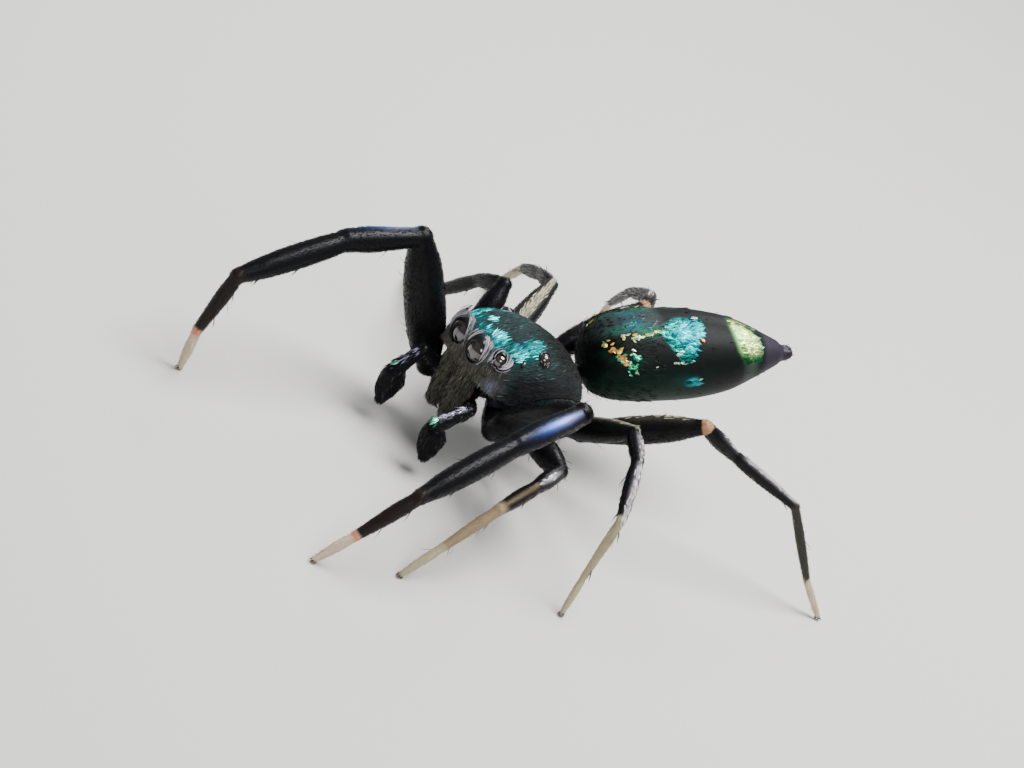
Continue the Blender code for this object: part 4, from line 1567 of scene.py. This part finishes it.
def foot_tufts(hair_finish):
    """The pad of spread hairs under each pair of claws, which the foot rests on."""
    roots, ways, normals, spots = [], [], [], []
    for pair, toe, way in feet():
        beside = unit(np.cross(way, [0.31, 0.22, 1]))
        out = np.cross(beside, way)
        for _ in range(PAD_HAIRS):
            turn = rng.uniform(0, 2 * pi)
            wide = rng.uniform(0, 0.045)
            spoke = beside * cos(turn) + out * sin(turn)
            aim = way * 0.5 + spoke * 0.5 + np.array([0, 0, -0.75])
            roots.append(toe + spoke * wide - way * 0.02)
            ways.append(aim)
            normals.append(unit(np.cross(aim, beside)))
            spots.append((pair / 5, 0.9 + 0.05 * cos(turn)))
    roots, ways = np.array(roots), unit(np.array(ways))
    reach = (roots[:, 2] - 0.001) / np.maximum(-ways[:, 2], 0.35)
    length = np.minimum(reach, 0.10) * rng.uniform(0.8, 1.0, len(roots))
    coat = Strewn(roots, np.array(normals), ways, np.array(spots))
    tint = jitter(plain(PAD_BROWN, len(roots)), 0.4)
    return coat.lay("foot_tufts", slice(None), (length, 0.010, 0.006), tint, hair_finish, 0.0, 0.9)


def eye_ball(name, centre, radius, finish):
    """A lens with its poles turned to the front and back."""
    place = to_metres(centre)
    bpy.ops.mesh.primitive_uv_sphere_add(segments=56, ring_count=32, radius=radius * MM, location=place)
    made = bpy.context.object
    made.name = name
    made.rotation_euler = (pi / 2 + NOSE_DOWN, 0, 0)
    for face in made.data.polygons:
        face.use_smooth = True
    made.data.materials.append(finish)
    return made


def eyes():
    """The eight polished lenses, each in the place of its solid."""
    polish = {"Roughness": 0.035, "Coat Weight": 1.0, "Coat Roughness": 0.02, "Specular IOR Level": 0.8}
    made = Finish("eye_lens", **polish)
    # The lens's mottled dark brown is partly its own colour and partly a painted reflection of brown
    # surroundings.
    deep = made.noise(5200.0)
    made.set("Base Color", made.tinted(LENS_BROWN, 0.4 + 0.9 * deep))
    for name, side, _, centre, radius, _, _ in eye_places():
        ball = eye_ball(f"lens_{name}_{side}", centre, radius, made.material)
        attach(ball, "root")
        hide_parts(f"eye_{name}_{side}")
        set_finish(ball, "eye")


# The camera looks at AIM from this heading and height, and is turned about its own axis with the animal.
AIM = np.array([0.134, 0.106, 1.478])
CAMERA_TURN = 42.02  # degrees
CAMERA_RISE = 25.57
CAMERA_ROLL = radians(33.07)
CAMERA_DISTANCE = 75.0
PIXELS_PER_MM = 57.44
PICTURE_WIDTH = 1024
FILM = 36.0


def camera():
    """The camera with the photo's framing, rolled as the photo's was."""
    back = direction(CAMERA_TURN, CAMERA_RISE)
    level = unit(np.cross(-back, [0, 0, 1]))
    upright = np.cross(level, -back)
    right = level * cos(CAMERA_ROLL) + upright * sin(CAMERA_ROLL)
    up = upright * cos(CAMERA_ROLL) - level * sin(CAMERA_ROLL)
    data = bpy.data.cameras.new("camera")
    data.sensor_width = FILM
    data.lens = FILM * PIXELS_PER_MM * CAMERA_DISTANCE / PICTURE_WIDTH
    data.clip_start = 0.001
    data.clip_end = 10.0
    made = bpy.data.objects.new("camera", data)
    bpy.context.scene.collection.objects.link(made)
    matrix = Matrix(np.stack((right, up, back), 1)).to_4x4()
    matrix.translation = Vector(to_metres(AIM + back * CAMERA_DISTANCE))
    made.matrix_world = matrix
    bpy.context.scene.camera = made


def lamp(name, way, distance, size, watts, tint=(1, 1, 1)):
    """A soft box that shines on the spider from a way given in the world."""
    data = bpy.data.lights.new(name, "AREA")
    data.shape = "DISK"
    data.size = size * MM
    data.energy = watts
    data.color = tint
    made = bpy.data.objects.new(name, data)
    bpy.context.scene.collection.objects.link(made)
    middle = to_metres(np.array([0, 0.6, 1.6]))
    place = Vector(middle + unit(np.array(way, float)) * distance * MM)
    made.location = place
    made.rotation_euler = (Vector(middle) - place).to_track_quat("-Z", "Y").to_euler()


def studio():
    """Three soft lamps, a pale sky and a pale floor."""
    lamp("overhead", (0.06, 0.26, 1.0), 60, 46, 0.110)
    lamp("back_right", (-0.62, 0.58, 0.62), 60, 20, 0.012)
    lamp("front_left", (0.9, -0.5, 0.7), 80, 40, 0.030)
    world = bpy.data.worlds.new("studio")
    world.use_nodes = True
    world.node_tree.nodes["Background"].inputs["Color"].default_value = SKY
    world.node_tree.nodes["Background"].inputs["Strength"].default_value = 0.30
    bpy.context.scene.world = world
    bpy.ops.mesh.primitive_plane_add(size=2.0, location=(0, 0, 0))
    floor = bpy.context.object
    floor.name = "floor"
    paving = Finish("pale_floor", Roughness=0.8, Specular_IOR_Level=0.2)
    paving.set("Base Color", FLOOR_GREY)
    floor.data.materials.append(paving.material)


def main():
    """Lays the skin and its coat over the solids, and sets up eyes, light and camera."""
    surface = Surface()
    skin = surface.piece()
    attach(skin, "root")
    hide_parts(*[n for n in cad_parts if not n.startswith("eye_")])
    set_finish(skin, "cuticle")
    scale_finish = coat_finish("metallic_scales", 1.0, 0.36)
    glint_finish = coat_finish("glinting_scales", 0.70, 0.30)
    dark_finish = coat_finish("dark_scales", 0.0, 0.50, 0.08)
    hair_finish = coat_finish("hairs", 0.0, 0.60, 0.06)
    claw_finish = Finish("claw_horn", Roughness=0.22)
    claw_finish.set("Base Color", HORN)
    coat = abdomen_coat(surface, scale_finish, dark_finish, glint_finish)
    for piece in coat:
        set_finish(piece, "abdomen")
    coat += head_coat(surface, scale_finish, hair_finish)
    coat.append(eye_fringes(hair_finish))
    for side in ("left", "right"):
        coat += leg_coat(surface, side, hair_finish, scale_finish)
        coat += palp_coat(surface, side, hair_finish, scale_finish)
    coat.append(body_bristles(surface, hair_finish))
    coat.append(leg_spines(surface, claw_finish.material))
    coat.append(foot_tufts(hair_finish))
    coat += claws_and_fangs(claw_finish.material)
    for piece in coat:
        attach(piece, "root")
        if "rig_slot" not in piece:
            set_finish(piece, "cuticle")
    eyes()
    studio()
    camera()
    bpy.context.view_layer.update()


main()
